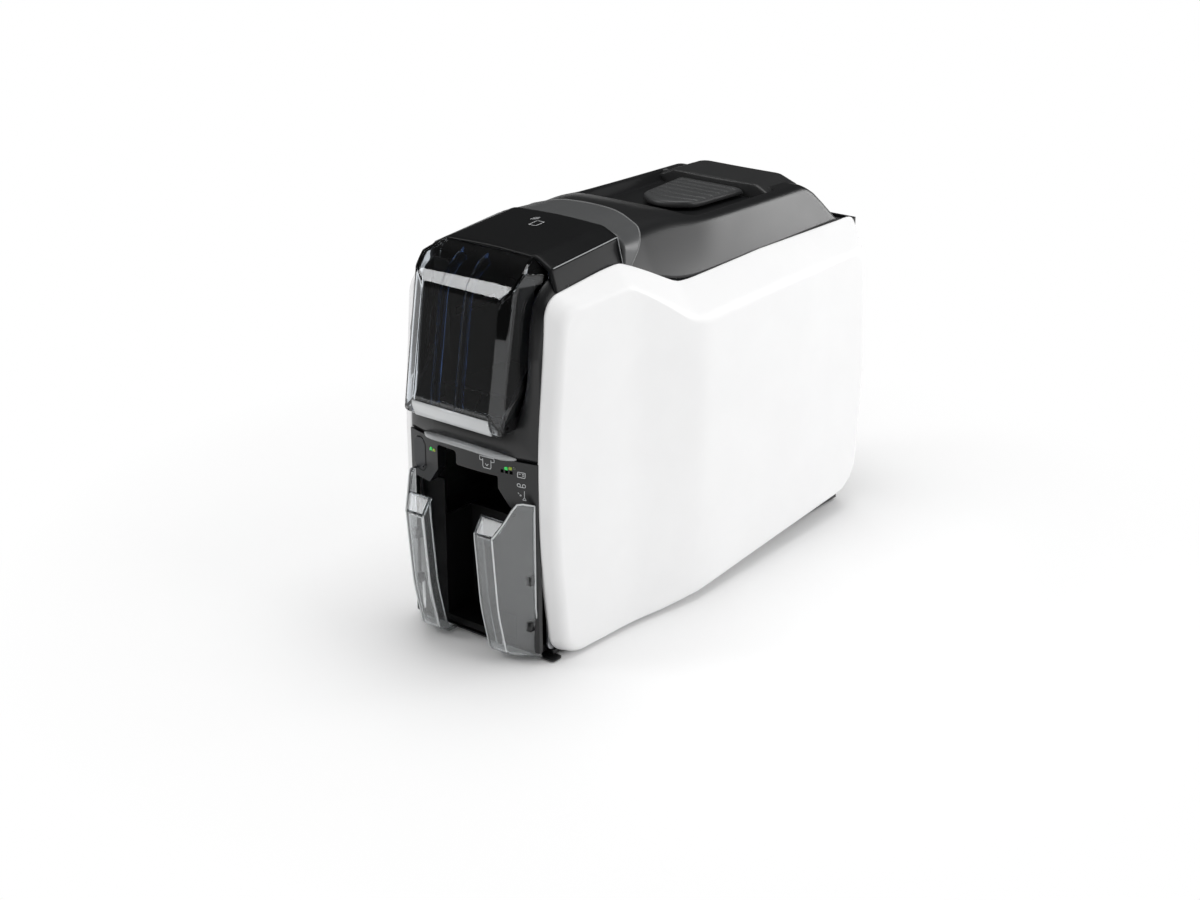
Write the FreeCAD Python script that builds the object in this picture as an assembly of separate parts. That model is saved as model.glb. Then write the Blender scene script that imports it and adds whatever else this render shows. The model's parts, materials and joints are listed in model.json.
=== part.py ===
"""Compact desktop id card printer, as separate solids, one file for each sub-part.

+Z is up, the front faces -Y, millimetres. The origin is on the table under the middle of the
printer's outer box. Cards stand on edge behind the clear door at the upper front. The hindmost
card is fed down into a turning drum, goes flat to the rear under the print head, comes back
through the drum and drops into the clear hopper at the lower front.
"""
import FreeCAD, Part
import math
import os

V = FreeCAD.Vector

# Overall size
WIDTH = 158.0
DEPTH = 376.0
HEIGHT = 268.0

# Cards, to the usual bank card size
CARD_WIDTH = 54.0
CARD_THICK = 0.8

# Walls, sheets and gaps
SKIN = 2.4
CLEAR_WALL = 2.2
THIN_WALL = 1.6
SHEET = 1.5
SEAM = 0.6
SEAT = 0.3
RUN = 0.05
CUT = 6.0

# Half widths of the outer casing: the inner rim and the flat face, at the front and at the rear
RIM_FRONT = 53.0
RIM_REAR = 62.0
FACE_FRONT = 67.6
HALF_WIDTH = WIDTH / 2
FRAME_OUT = 51.0
FRAME_IN = FRAME_OUT - SHEET
BEZEL_HALF = RIM_FRONT - SEAM
PLAN_BEND = 70.0

# Where the casing starts and ends its step from the narrow front to the wide rear (y shares)
rim_step_shares = (-0.235, -0.085)
face_step_shares = (-0.225, -0.066)

# Side outline of a casing panel: y as a share of the depth, z and corner radius of the height.
# First at the narrow inner rim, then at the outermost face.
rim_outline_shares = (
    (-0.4354, 0.560, 0.50), (-0.4122, 0.899, 0.055), (-0.2234, 0.925, 0.085), (-0.0700, 0.863, 0.16),
    (0.5030, 0.868, 0.05), (0.5050, 0.380, 0.60), (0.4890, 0.0360, 0.09), (-0.1600, 0.0085, 0.80),
    (-0.4149, 0.0085, 0.055), (-0.4375, 0.300, 0.80))
face_outline_shares = (
    (-0.4348, 0.560, 0.50), (-0.3934, 0.856, 0.09), (-0.2606, 0.847, 0.085), (-0.1010, 0.746, 0.16),
    (0.4620, 0.752, 0.07), (0.4782, 0.380, 0.60), (0.4600, 0.0740, 0.09), (-0.1600, 0.0120, 0.80),
    (-0.4056, 0.0085, 0.055), (-0.4340, 0.300, 0.80))

# Feet, base and frame
FOOT_HEIGHT = 2.0
FOOT_RADIUS = 7.0
FOOT_INSET = 9.0
BASE_FLOOR = 3.0
BASE_WALL_HEIGHT = 12.0
TOE_HALF = 58.0
TOE_DEPTH = 7.0
TOE_LIFT = 1.0
base_front_share = -0.400
base_rear_share = 0.472
base_wall_end_share = 0.420
frame_outline_shares = ((-0.410, 0.780, 0.03), (-0.372, 0.883, 0.02), (-0.215, 0.883, 0.03),
                        (-0.165, 0.790, 0.05), (0.470, 0.790, 0.03), (0.470, 0.130, 0.05),
                        (0.412, 0.020, 0.03), (-0.410, 0.020, 0.02))
frame_window_shares = ((0.200, 0.120, 0.02), (0.200, 0.220, 0.02), (0.340, 0.220, 0.02), (0.340, 0.120, 0.02))
FRAME_LUG_RADIUS = 4.2
tie_place_shares = ((-0.332, 0.075), (-0.020, 0.330), (0.290, 0.330), (0.440, 0.700), (0.440, 0.110),
                    (-0.146, 0.571), (0.234, 0.571))
TIE_RADIUS = 3.0
SCREW_HEAD_RADIUS = 3.0
SCREW_HEAD = 1.8
boss_place_shares = ((-0.340, 0.560), (0.400, 0.560), (-0.300, 0.150), (0.380, 0.200))
BOSS_RADIUS = 4.5

# Front: fascia, lip, lights and button
fascia_side_share = -0.4362
FASCIA_BOW = 7.0
FASCIA_WALL = 3.0
fascia_split_share = 0.5130
fascia_low_share = 0.3950
NOTCH_HALF = 25.0
NOTCH_LOW_HALF = 33.4
notch_corner_share = 0.4366
slot_top_share = 0.5000
slot_right_bottom_share = 0.4664
SLOT_STEP_X = -8.0
LIP_HALF = 41.0
LIP_FRONT_HALF = 36.0
LIP_REACH = 5.5
LIP_THICK = 3.0
BUTTON_HALF_WIDTH = 4.6
BUTTON_HEIGHT = 20.0
BUTTON_CHAMFER = 2.6
BUTTON_X = -42.3
button_z_share = 0.4620
BUTTON_PROUD = 0.8
BUTTON_TRAVEL = 1.5
BUTTON_STEM = 7.0
BUTTON_STEM_HALF = 2.2
LIGHT_SIZE = 2.2
LIGHT_PITCH = 3.2
LIGHT_X = 31.4
light_z_share = 0.4820

# Clear input door
DOOR_FRONT_HALF = 30.5
DOOR_SHOULDER_HALF = 40.0
DOOR_RIM_HALF = 44.2
DOOR_SHOULDER_BACK = 3.2
door_outline_shares = ((-0.4915, 0.6200, 0.03), (-0.4550, 0.9250, 0.075), (-0.4150, 0.9690, 0.10),
                       (-0.3815, 0.9755, 0.0), (-0.3815, 0.9400, 0.0), (-0.4330, 0.5950, 0.0),
                       (-0.4790, 0.5780, 0.025))
door_rim_y_share = -0.4345
DOOR_FIN_X = 10.5
DOOR_FIN_THICK = 1.4
DOOR_FIN_DEPTH = 9.0
door_hinge_y_share = -0.4641
door_hinge_z_share = 0.6030
DOOR_PIN_RADIUS = 1.5
DOOR_LUG_RADIUS = 3.4
DOOR_LUG_IN = 35.0
DOOR_LUG_THICK = 2.6
DOOR_NOTCH_GAP = 0.8

# Input hopper, pusher and hood
hopper_floor_share = 0.6325
hopper_rear_share = -0.2460
hopper_front_share = -0.4000
HOPPER_FLANGE_HALF = 40.2
hopper_roof_share = 0.9300
hopper_tab_share = 0.8600
HOPPER_WALL = 2.0
HOPPER_SLOT = 3.0
PUSHER_HALF = 26.0
PUSHER_THICK = 2.6
PUSHER_SHOE = 5.0
hood_front_share = -0.3800
hood_rear_share = -0.2060
HOOD_BASE_HALF = 51.0
HOOD_EDGE_HALF = 45.8
HOOD_TOP_HALF = 35.0
hood_base_share = 0.8850
hood_edge_shares = (0.9470, 0.9670)
hood_top_shares = (0.9700, 0.9860)
hood_crown_shares = (0.9750, 0.9910)
HOOD_CORNER = 3.0

# Top cover, arch band, rear cap, latch
cover_station_shares = (-0.2050, -0.1380, -0.0620, 0.0060, 0.3600, 0.4900)
COVER_BASE_HALVES = (53.0, 57.4, 60.8, 60.8, 60.8, 60.8)
cover_base_shares = (0.9060, 0.8620, 0.8300, 0.8280, 0.8280, 0.8280)
COVER_SHOULDER_HALVES = (45.8, 45.8, 47.0, 53.0, 53.0, 53.0)
cover_shoulder_shares = (0.9690, 0.9740, 0.9780, 0.9597, 0.9478, 0.9478)
COVER_TOP_HALVES = (34.0, 30.0, 30.0, 40.0, 40.0, 40.0)
cover_top_shares = (0.9850, 0.9960, 0.9930, 0.9616, 0.9496, 0.9496)
cover_crown_shares = (0.9900, 1.0000, 0.9970, 0.9627, 0.9507, 0.9507)
cover_side_shares = ((-0.2040, 0.9113, 0.0), (-0.2040, 1.0500, 0.0), (0.3400, 1.0500, 0.0),
                     (0.3484, 0.9459, 0.05), (0.4069, 0.8451, 0.06), (0.4700, 0.8290, 0.0),
                     (0.4700, 0.8240, 0.0), (0.4420, 0.8290, 0.0), (-0.0860, 0.8290, 0.18))
cover_open_share = 0.7600
band_rear_shares = ((-0.1915, 0.900), (-0.1120, 1.010))
well_front_share = -0.0050
well_rear_share = 0.2720
well_floor_share = 0.9230
WELL_TOP_HALF = 49.0
WELL_FLOOR_HALF = 43.0
WELL_SLOPE = 9.0
WELL_CORNER = 8.0
cap_front_share = 0.2480
cap_rear_share = 0.3600
cap_top_shares = (0.2600, 0.3440)
cap_top_share = 0.9625
cap_foot_share = 0.9270
CAP_TOP_HALF = 33.0
CAP_FOOT_HALF = 42.0
CAP_CORNER = 5.0
cover_hinge_y_share = 0.4560
cover_hinge_z_share = 0.8070
COVER_EAR_RADIUS = 5.0
COVER_EAR_THICK = 4.0
COVER_EAR_X = 43.0
COVER_PIN_RADIUS = 2.5
LATCH_FRONT_HALF = 21.5
LATCH_REAR_HALF = 28.0
latch_front_share = 0.1010
latch_rear_share = 0.2440
LATCH_THICK = 3.6
LATCH_LIFT = 1.6
LATCH_CORNER = 9.0
LATCH_GROOVES = 6
LATCH_GROOVE_WIDTH = 1.2
LATCH_GROOVE_DEPTH = 0.6
LATCH_STEM_RADIUS = 4.0
LATCH_STEM_X = 12.0
latch_stem_y_share = 0.1300
LATCH_STEM_LENGTH = 14.0
SPRING_WIRE = 0.8
SPRING_TURNS = 4.0
SPRING_SECTIONS = 10
HOOK_X = 45.0
HOOK_WIDTH = 2.4
HOOK_NOSE = 4.0
HOOK_THICK = 3.0
HOOK_SHAFT_RADIUS = 2.0
hook_y_share = 0.0550
hook_z_share = 0.8960
hook_tip_share = 0.8020
HOOK_BLOCK_X = 41.0

# Output hopper
TRAY_HALF = CARD_WIDTH / 2 + 2.2
tray_floor_share = 0.0300
tray_back_share = -0.3520
tray_top_share = 0.3000
tray_front_share = -0.4230
WING_INNER = 21.0
WING_CORNER = 35.6
WING_FLANGE = 8.0
wing_side_shares = ((-0.5000, 0.3430, 0.02), (-0.5000, 0.3100, 0.30), (-0.4780, 0.0950, 0.14),
                    (-0.4450, 0.0150, 0.05), (-0.4180, 0.0130, 0.0), (-0.4280, 0.3950, 0.0),
                    (-0.4620, 0.4130, 0.02))
WING_ROOT_HALF = 48.6

# Card path: heights and places of the rollers
path_share = 0.4701
DRUM_RADIUS = 36.0
DRUM_HALF = 30.0
drum_y_share = -0.2530
DRUM_SLOT = 4.0
DRUM_WEB = 3.0
ROLLER_RADIUS = 8.0
PINCH_RADIUS = 5.0
SHAFT_RADIUS = 3.0
SLEEVE_HALF = 30.0
PULLEY_RADIUS = 7.0
PULLEY_WIDTH = 4.0
PULLEY_FLANGE = 0.9
PULLEY_LIP = 1.2
entry_y_share = -0.1180
platen_y_share = 0.0560
exit_y_share = 0.1800
cleaner_y_share = -0.0600
feed_z_share = 0.6640
pick_z_share = 0.8000
PICK_RADIUS = 11.0
PICK_HALF = 12.0
MOTOR_SIZE = 35.0
MOTOR_LENGTH = 34.0
MOTOR_GAP = 1.6
MOTOR_SHAFT_RADIUS = 2.5
BELT_THICK = 1.2
BELT_GAP = 0.08
BEARING_RADIUS = 5.5
BEARING_FLANGE = 1.2

# Print head and ribbon
HEAD_HALF = 31.0
HEAD_THICK = 5.0
HEAD_HEIGHT = 26.0
HEAD_TIP = 3.0
head_front_share = 0.0320
head_rear_share = 0.0820
head_pivot_shares = (0.1170, 0.6160)
HEAD_PIN_RADIUS = 2.0
HEAD_BRACKET_HALF = 36.0
HEAD_SPRING_RADIUS = 3.0
HEAD_SPRING_X = 20.0
bracket_shares = ((0.0400, 0.5700, 0.02), (0.0400, 0.9140, 0.0), (0.1330, 0.9140, 0.0), (0.1330, 0.5700, 0.02))
bracket_plate_share = 0.8480
spring_seat_share = 0.6160
SPOOL_RADIUS = 8.0
SUPPLY_RADIUS = 20.0
TAKEUP_RADIUS = 11.0
RIBBON_HALF = 30.0
supply_y_share = -0.0880
takeup_y_share = 0.1780
spool_z_share = 0.6560
cassette_shares = ((-0.1590, 0.5825, 0.02), (-0.1590, 0.7000, 0.05), (-0.0880, 0.7450, 0.05),
                   (0.2200, 0.7300, 0.05), (0.2500, 0.6800, 0.03), (0.2500, 0.5825, 0.02))
cassette_window_shares = ((0.0000, 0.6200, 0.02), (0.0000, 0.7000, 0.02), (0.1100, 0.7000, 0.02),
                          (0.1100, 0.6200, 0.02))
front_bar_share = 0.6600
rear_bar_shares = (0.2380, 0.6500)
FILM_THICK = 0.2
FILM_LIFT = 1.0
film_front_share = 0.0200
film_rear_share = 0.1100
CASSETTE_HALF = 40.0
CASSETTE_WALL = 2.0
CASSETTE_BAR = 5.0
BAR_GAP = 0.8
BAR_RIM = 0.9
SPOOL_HUB = 4.0

# Motors: side of the printer, y share, z share; and the shafts that their belts turn
motor_shares = {"main": (1, 0.0560, 0.2000), "feed": (-1, -0.0800, 0.3360),
                "drum": (-1, -0.2530, 0.1870), "ribbon": (-1, 0.1780, 0.3360)}

# Rear panel and electronics
REAR_WALL = 3.0
REAR_PROUD = 2.0
REAR_BOTTOM = 7.0
rear_top_share = 0.8150
REAR_RISE = 30.0
VENT_SLOTS = 9
VENT_WIDTH = 2.5
VENT_LENGTH = 26.0
VENT_PITCH = 6.0
BOARD_HALF = 40.0
BOARD_THICK = 1.6
board_front_share = 0.2300
board_z_share = 0.1500
INLET_WIDTH = 10.0
INLET_HEIGHT = 11.0
INLET_DEPTH = 14.0
INLET_HOLE_RADIUS = 3.2
INLET_X = -26.0
USB_WIDTH = 12.0
USB_HEIGHT = 11.0
USB_DEPTH = 16.0
USB_X = 0.0
LAN_WIDTH = 16.0
LAN_HEIGHT = 13.5
LAN_DEPTH = 18.0
LAN_X = 26.0
PORT_WALL = 1.2
PORT_INSET = 6.6
LOCK_WIDTH = 7.0
LOCK_HEIGHT = 3.0
LOCK_X = 45.0


def y_at(share):
    """A place along the depth."""
    return DEPTH * share


def z_at(share):
    """A height above the table."""
    return HEIGHT * share


def outline(shares):
    """A side outline in millimetres from a table of shares."""
    return [(y_at(y), z_at(z), z_at(r)) for y, z, r in shares]


def inset(points, distance):
    """The same outline with each side moved inwards by a distance, its radii following."""
    area = sum(a[0] * b[1] - b[0] * a[1] for a, b in zip(points, points[1:] + points[:1]))
    side = 1.0 if area > 0 else -1.0
    result = []
    count = len(points)
    for i in range(count):
        before, here, after = points[i - 1], points[i], points[(i + 1) % count]
        first = unit(here[0] - before[0], here[1] - before[1])
        second = unit(after[0] - here[0], after[1] - here[1])
        turn = side * (first[0] * second[1] - first[1] * second[0])
        spread = 1 + first[0] * second[0] + first[1] * second[1]
        normal = (-(first[1] + second[1]) * side, (first[0] + second[0]) * side)
        radius = here[2] - distance if turn > 0 else here[2] + distance
        result.append((here[0] + normal[0] * distance / spread,
                       here[1] + normal[1] * distance / spread, max(radius, 0.0) if here[2] else 0.0))
    return result


def unit(a, b):
    """A pair scaled to length one."""
    length = math.hypot(a, b)
    return (a / length, b / length)


def rounded(points, place):
    """A closed wire through corners (a, b, radius), with tangent arcs, placed by place(a, b)."""
    edges = []
    starts, ends, middles = [], [], []
    count = len(points)
    for i in range(count):
        before, here, after = points[i - 1], points[i], points[(i + 1) % count]
        radius = here[2]
        back = unit(before[0] - here[0], before[1] - here[1])
        ahead = unit(after[0] - here[0], after[1] - here[1])
        cosine = max(-1.0, min(1.0, back[0] * ahead[0] + back[1] * ahead[1]))
        half = math.acos(cosine) / 2
        if radius <= 0 or half > math.radians(89.9):
            starts.append((here[0], here[1]))
            ends.append((here[0], here[1]))
            middles.append(None)
            continue
        reach = radius / math.tan(half)
        centre_way = unit(back[0] + ahead[0], back[1] + ahead[1])
        to_centre = radius / math.sin(half)
        centre = (here[0] + centre_way[0] * to_centre, here[1] + centre_way[1] * to_centre)
        starts.append((here[0] + back[0] * reach, here[1] + back[1] * reach))
        ends.append((here[0] + ahead[0] * reach, here[1] + ahead[1] * reach))
        middles.append((centre[0] - centre_way[0] * radius, centre[1] - centre_way[1] * radius))
    for i in range(count):
        if middles[i] is not None:
            edges.append(Part.Arc(place(*starts[i]), place(*middles[i]), place(*ends[i])).toShape())
        following = (i + 1) % count
        a, b = place(*ends[i]), place(*starts[following])
        if (a - b).Length > 1e-6:
            edges.append(Part.LineSegment(a, b).toShape())
    return Part.Wire(edges)


def wire_x(points, x):
    return rounded(points, lambda y, z: V(x, y, z))


def wire_y(points, y):
    return rounded(points, lambda x, z: V(x, y, z))


def wire_z(points, z):
    return rounded(points, lambda x, y: V(x, y, z))


def prism_x(points, x0, x1):
    """A side outline extruded across the printer."""
    return Part.Face(wire_x(points, x0)).extrude(V(x1 - x0, 0, 0))


def prism_y(points, y0, y1):
    """A front outline extruded along the printer."""
    return Part.Face(wire_y(points, y0)).extrude(V(0, y1 - y0, 0))


def prism_z(points, z0, z1):
    """A plan outline extruded upwards."""
    return Part.Face(wire_z(points, z0)).extrude(V(0, 0, z1 - z0))


def block(x0, x1, y0, y1, z0, z1):
    return Part.makeBox(x1 - x0, y1 - y0, z1 - z0, V(x0, y0, z0))


def rod_x(y, z, radius, x0, x1):
    return Part.makeCylinder(radius, x1 - x0, V(x0, y, z), V(1, 0, 0))


def rod_y(x, z, radius, y0, y1):
    return Part.makeCylinder(radius, y1 - y0, V(x, y0, z), V(0, 1, 0))


def rod_z(x, y, radius, z0, z1):
    return Part.makeCylinder(radius, z1 - z0, V(x, y, z0), V(0, 0, 1))


def tube_x(y, z, outer, inner, x0, x1):
    return rod_x(y, z, outer, x0, x1).cut(rod_x(y, z, inner, x0 - CUT, x1 + CUT))


def rectangle(a0, a1, b0, b1, radius=0.0):
    return [(a0, b0, radius), (a1, b0, radius), (a1, b1, radius), (a0, b1, radius)]


def mirrored(shape):
    """The same shape on the other side of the printer."""
    return shape.mirror(V(0, 0, 0), V(1, 0, 0))


def joined(shapes):
    whole = shapes[0]
    for shape in shapes[1:]:
        whole = whole.fuse(shape)
    return whole.removeSplitter()


def less(shape, cutters):
    for cutter in cutters:
        shape = shape.cut(cutter)
    return shape


def save(name, shape):
    """One file for a sub-part, from its solids."""
    solids = shape.Solids
    whole = solids[0] if len(solids) == 1 else Part.makeCompound(solids)
    whole.exportStep(os.path.join("parts", name + ".step"))
    print(name, len(solids), "solids", round(sum(s.Volume for s in solids) / 1000, 2), "cm3",
          "" if all(s.isValid() for s in solids) else "NOT VALID")


def plan_curve(front_half, rear_half, step_shares, y0, y1):
    """Corners of a line that steps outwards from the narrow front to the wide rear."""
    return [(front_half, y0, 0.0), (front_half, y_at(step_shares[0]), PLAN_BEND),
            (rear_half, y_at(step_shares[1]), PLAN_BEND), (rear_half, y1, 0.0)]


FRONT_Y = -DEPTH / 2
REAR_Y = DEPTH / 2
PATH_Z = z_at(path_share)
DRUM_Y = y_at(drum_y_share)


def casing_form(wall):
    """The solid form of the right panel, moved inwards by a wall."""
    rim_line = inset(outline(rim_outline_shares), wall)
    face_line = inset(outline(face_outline_shares), wall)
    bevelled = Part.makeLoft([wire_x(rim_line, RIM_FRONT), wire_x(face_line, HALF_WIDTH)], True, True)
    if wall:
        bevelled = bevelled.fuse(prism_x(rim_line, RIM_FRONT - CUT, RIM_FRONT))
    inner = plan_curve(RIM_FRONT - CUT * bool(wall), RIM_REAR - CUT * bool(wall), rim_step_shares,
                       FRONT_Y - CUT, REAR_Y + CUT)
    outer = plan_curve(FACE_FRONT - wall, HALF_WIDTH - wall, face_step_shares, FRONT_Y - CUT, REAR_Y + CUT)
    plan = prism_z(inner + outer[::-1], -CUT, HEIGHT + CUT)
    return bevelled.common(plan)


def casing_outline(x):
    """Side outline of the casing at a distance from the middle."""
    share = (x - RIM_FRONT) / (HALF_WIDTH - RIM_FRONT)
    pairs = zip(outline(rim_outline_shares), outline(face_outline_shares))
    return [tuple(a + (b - a) * share for a, b in zip(rim, face)) for rim, face in pairs]


def side_panel():
    """White shell with a bevelled edge all round and four bosses that reach the frame."""
    shell = casing_form(0.0).cut(casing_form(SKIN))
    bosses = []
    for y_share, z_share in boss_place_shares:
        y, z = y_at(y_share), z_at(z_share)
        reach = (FACE_FRONT if y_share < rim_step_shares[0] else HALF_WIDTH) - SKIN / 2
        bosses.append(rod_x(y, z, BOSS_RADIUS, FRAME_OUT, reach))
    return joined([shell] + bosses)


def base_tray():
    """Floor with low walls along both sides and a toe that shows under the front."""
    y0, y1 = y_at(base_front_share), y_at(base_rear_share)
    z0 = FOOT_HEIGHT
    half = FRAME_IN - SEAT
    edge = plan_curve(RIM_FRONT - SEAM, RIM_REAR - SEAM, rim_step_shares, y0, y1)
    floor = prism_z(edge + [(-x, y, r) for x, y, r in edge[::-1]], z0, z0 + BASE_FLOOR)
    wall_y0, wall_y1 = y_at(tray_back_share) + SEAM, y_at(base_wall_end_share)
    wall = block(half - SKIN, half, wall_y0, wall_y1, z0, z0 + BASE_WALL_HEIGHT)
    toe_outline = rectangle(-TOE_HALF, TOE_HALF, y0 - TOE_DEPTH, y0 + SKIN, SKIN)
    toe = prism_z(toe_outline, TOE_LIFT, FOOT_HEIGHT)
    return joined([floor, wall, mirrored(wall), toe])


def rubber_feet():
    y0, y1 = y_at(base_front_share) + FOOT_RADIUS + FOOT_INSET, y_at(base_rear_share) - FOOT_RADIUS - FOOT_INSET
    x = FRAME_IN - FOOT_RADIUS - FOOT_INSET
    feet = []
    for side in (-1, 1):
        for y in (y0, y1):
            foot = rod_z(side * x, y, FOOT_RADIUS, 0, FOOT_HEIGHT)
            feet.append(foot.makeFillet(FOOT_HEIGHT / 4, [e for e in foot.Edges if e.BoundBox.ZMax < TOE_LIFT / 2]))
    return Part.makeCompound(feet)


def shaft_places():
    """Places of the turning shafts that run in bearings in both frame plates."""
    drive_z = PATH_Z - ROLLER_RADIUS - CARD_THICK / 2
    return {
        "entry": (y_at(entry_y_share), drive_z),
        "platen": (y_at(platen_y_share), drive_z),
        "exit": (y_at(exit_y_share), drive_z),
        "feed": (y_at(hopper_rear_share) + ROLLER_RADIUS + SEAT, z_at(feed_z_share)),
        "pick": (y_at(hopper_rear_share) + PICK_RADIUS + SEAT, z_at(pick_z_share)),
        "drum": (DRUM_Y, PATH_Z),
        "entry_pinch": (y_at(entry_y_share), PATH_Z + PINCH_RADIUS + CARD_THICK / 2),
        "exit_pinch": (y_at(exit_y_share), PATH_Z + PINCH_RADIUS + CARD_THICK / 2),
        "cleaner": (y_at(cleaner_y_share), PATH_Z + PINCH_RADIUS + CARD_THICK / 2),
    }


def frame_plate(side):
    """Right steel side plate with its bearing holes and a window, and the motor holes of one side."""
    plate = prism_x(outline(frame_outline_shares), FRAME_IN, FRAME_OUT)
    hinge_y, hinge_z = cover_hinge()
    lug = rod_x(hinge_y, hinge_z, FRAME_LUG_RADIUS, FRAME_IN, FRAME_OUT)
    stand = block(FRAME_IN, FRAME_OUT, hinge_y - FRAME_LUG_RADIUS, hinge_y + FRAME_LUG_RADIUS,
                  hinge_z - FRAME_LUG_RADIUS * 2, hinge_z)
    cutters = [prism_x(outline(frame_window_shares), FRAME_IN - CUT, FRAME_OUT + CUT),
               rod_x(hinge_y, hinge_z, COVER_PIN_RADIUS + RUN, FRAME_IN - CUT, FRAME_OUT + CUT)]
    for y, z in shaft_places().values():
        cutters.append(rod_x(y, z, BEARING_RADIUS, FRAME_IN - CUT, FRAME_OUT + CUT))
    for motor_side, y, z in motors().values():
        if motor_side == side:
            cutters.append(rod_x(y, z, BEARING_RADIUS, FRAME_IN - CUT, FRAME_OUT + CUT))
    if side < 0:
        y, z = takeup_place()
        cutters.append(rod_x(y, z, BEARING_RADIUS, FRAME_IN - CUT, FRAME_OUT + CUT))
    return less(joined([plate, lug, stand]), cutters)


def bearings():
    """Flanged bushes in both plates, one for each shaft end."""
    bushes = []
    for y, z in shaft_places().values():
        bush = tube_x(y, z, BEARING_RADIUS, SHAFT_RADIUS + RUN, FRAME_IN - BEARING_FLANGE, FRAME_OUT)
        bushes += [bush, mirrored(bush)]
    y, z = takeup_place()
    bushes.append(mirrored(tube_x(y, z, BEARING_RADIUS, SHAFT_RADIUS + RUN, FRAME_IN - BEARING_FLANGE, FRAME_OUT)))
    return Part.makeCompound(bushes)


def frame_ties():
    """Round bars between the two plates."""
    return Part.makeCompound([rod_x(y_at(y), z_at(z), TIE_RADIUS, -FRAME_IN, FRAME_IN) for y, z in tie_place_shares])


def frame_screws():
    """Button heads outside the plates, at the ends of the ties."""
    heads = []
    for y, z in tie_place_shares:
        head = rod_x(y_at(y), z_at(z), SCREW_HEAD_RADIUS, FRAME_OUT, FRAME_OUT + SCREW_HEAD)
        head = head.makeFillet(SCREW_HEAD / 3, [e for e in head.Edges if e.BoundBox.XMin > FRAME_OUT + SCREW_HEAD / 2])
        heads += [head, mirrored(head)]
    return Part.makeCompound(heads)


def bowed_plan(half, back_y, shift=0.0):
    """Plan area behind the bowed front line of the fascia, moved forwards by shift."""
    side_y = y_at(fascia_side_share) - shift
    a, m, b = V(-half, side_y, 0), V(0, side_y - FASCIA_BOW, 0), V(half, side_y, 0)
    edges = [Part.Arc(a, m, b).toShape(), Part.LineSegment(b, V(half, back_y, 0)).toShape(),
             Part.LineSegment(V(half, back_y, 0), V(-half, back_y, 0)).toShape(),
             Part.LineSegment(V(-half, back_y, 0), a).toShape()]
    return Part.Face(Part.Wire(edges))


def bowed_solid(half, back_y, z0, z1, shift=0.0):
    face = bowed_plan(half, back_y, shift)
    face.translate(V(0, 0, z0))
    return face.extrude(V(0, 0, z1 - z0))


def front_bezel():
    """Dark frame round the clear door: a cross bar below it and two arms that curve over the top."""
    split = z_at(fascia_split_share) + SEAM / 2
    bar_top = z_at(door_outline_shares[-1][1]) - SEAM
    back = y_at(fascia_side_share) + FASCIA_WALL
    bar = bowed_solid(BEZEL_HALF, back, split, bar_top)
    outer = [(y_at(-0.4440), split, 0.0), (y_at(-0.4440), z_at(0.72), z_at(0.6)),
             (y_at(-0.4240), z_at(0.925), z_at(0.085)), (y_at(-0.3805), z_at(0.951), 0.0),
             (y_at(-0.3805), z_at(0.900), z_at(0.02)), (y_at(-0.4150), z_at(0.790), z_at(0.03)),
             (y_at(-0.4150), split, 0.0)]
    arm = prism_x(outer, DOOR_RIM_HALF + SEAM, BEZEL_HALF)
    slot = block(-SLEEVE_HALF, SLEEVE_HALF, FRONT_Y - CUT, back + CUT, split - CUT, split + CARD_THICK * 2)
    return joined([bar, arm, mirrored(arm)]).cut(slot)


def lower_fascia():
    """Face below the bezel: the card slot with its stepped hood, the finger notch, and two legs."""
    top = z_at(fascia_split_share) - SEAM / 2
    low = z_at(fascia_low_share)
    back = y_at(fascia_side_share) + FASCIA_WALL
    plate = bowed_solid(BEZEL_HALF, back, z_at(tray_floor_share), top)
    corner_z = z_at(notch_corner_share)
    slot_top = z_at(slot_top_share)
    step_z = z_at(slot_right_bottom_share)
    root = WING_ROOT_HALF + SEAM
    opening = [(-root, z_at(tray_floor_share) - CUT, 0.0), (-root, low, 0.0), (-NOTCH_LOW_HALF, low, 0.0),
               (-NOTCH_HALF, corner_z, 0.0), (-NOTCH_HALF, slot_top, SKIN), (SLOT_STEP_X, slot_top, SKIN),
               (SLOT_STEP_X, step_z, SKIN / 2), (NOTCH_HALF, step_z, SKIN / 2), (NOTCH_HALF, corner_z, 0.0),
               (NOTCH_LOW_HALF, low, 0.0), (root, low, 0.0), (root, z_at(tray_floor_share) - CUT, 0.0)]
    plate = plate.cut(prism_y(opening, FRONT_Y - CUT, back + CUT))
    plate = plate.cut(prism_y(button_outline(RUN * 2 + SEAT), FRONT_Y - CUT, back + CUT))
    for x, z in light_places():
        plate = plate.cut(block(x - LIGHT_SIZE / 2, x + LIGHT_SIZE / 2, FRONT_Y - CUT, back + CUT,
                                z - LIGHT_SIZE / 2, z + LIGHT_SIZE / 2))
    return plate


def button_outline(grow):
    """Long octagon of the power button."""
    half = BUTTON_HALF_WIDTH + grow
    tall = BUTTON_HEIGHT / 2 + grow
    cut = BUTTON_CHAMFER
    z = z_at(button_z_share)
    corners = [(-half, -tall + cut), (-half + cut, -tall), (half - cut, -tall), (half, -tall + cut),
               (half, tall - cut), (half - cut, tall), (-half + cut, tall), (-half, tall - cut)]
    return [(BUTTON_X + a, z + b, 0.0) for a, b in corners]


def light_places():
    """One light on the left and three on the right of the slot."""
    z = z_at(light_z_share)
    return [(-LIGHT_X, z)] + [(LIGHT_X + i * LIGHT_PITCH, z) for i in (-1, 0, 1)]


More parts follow.
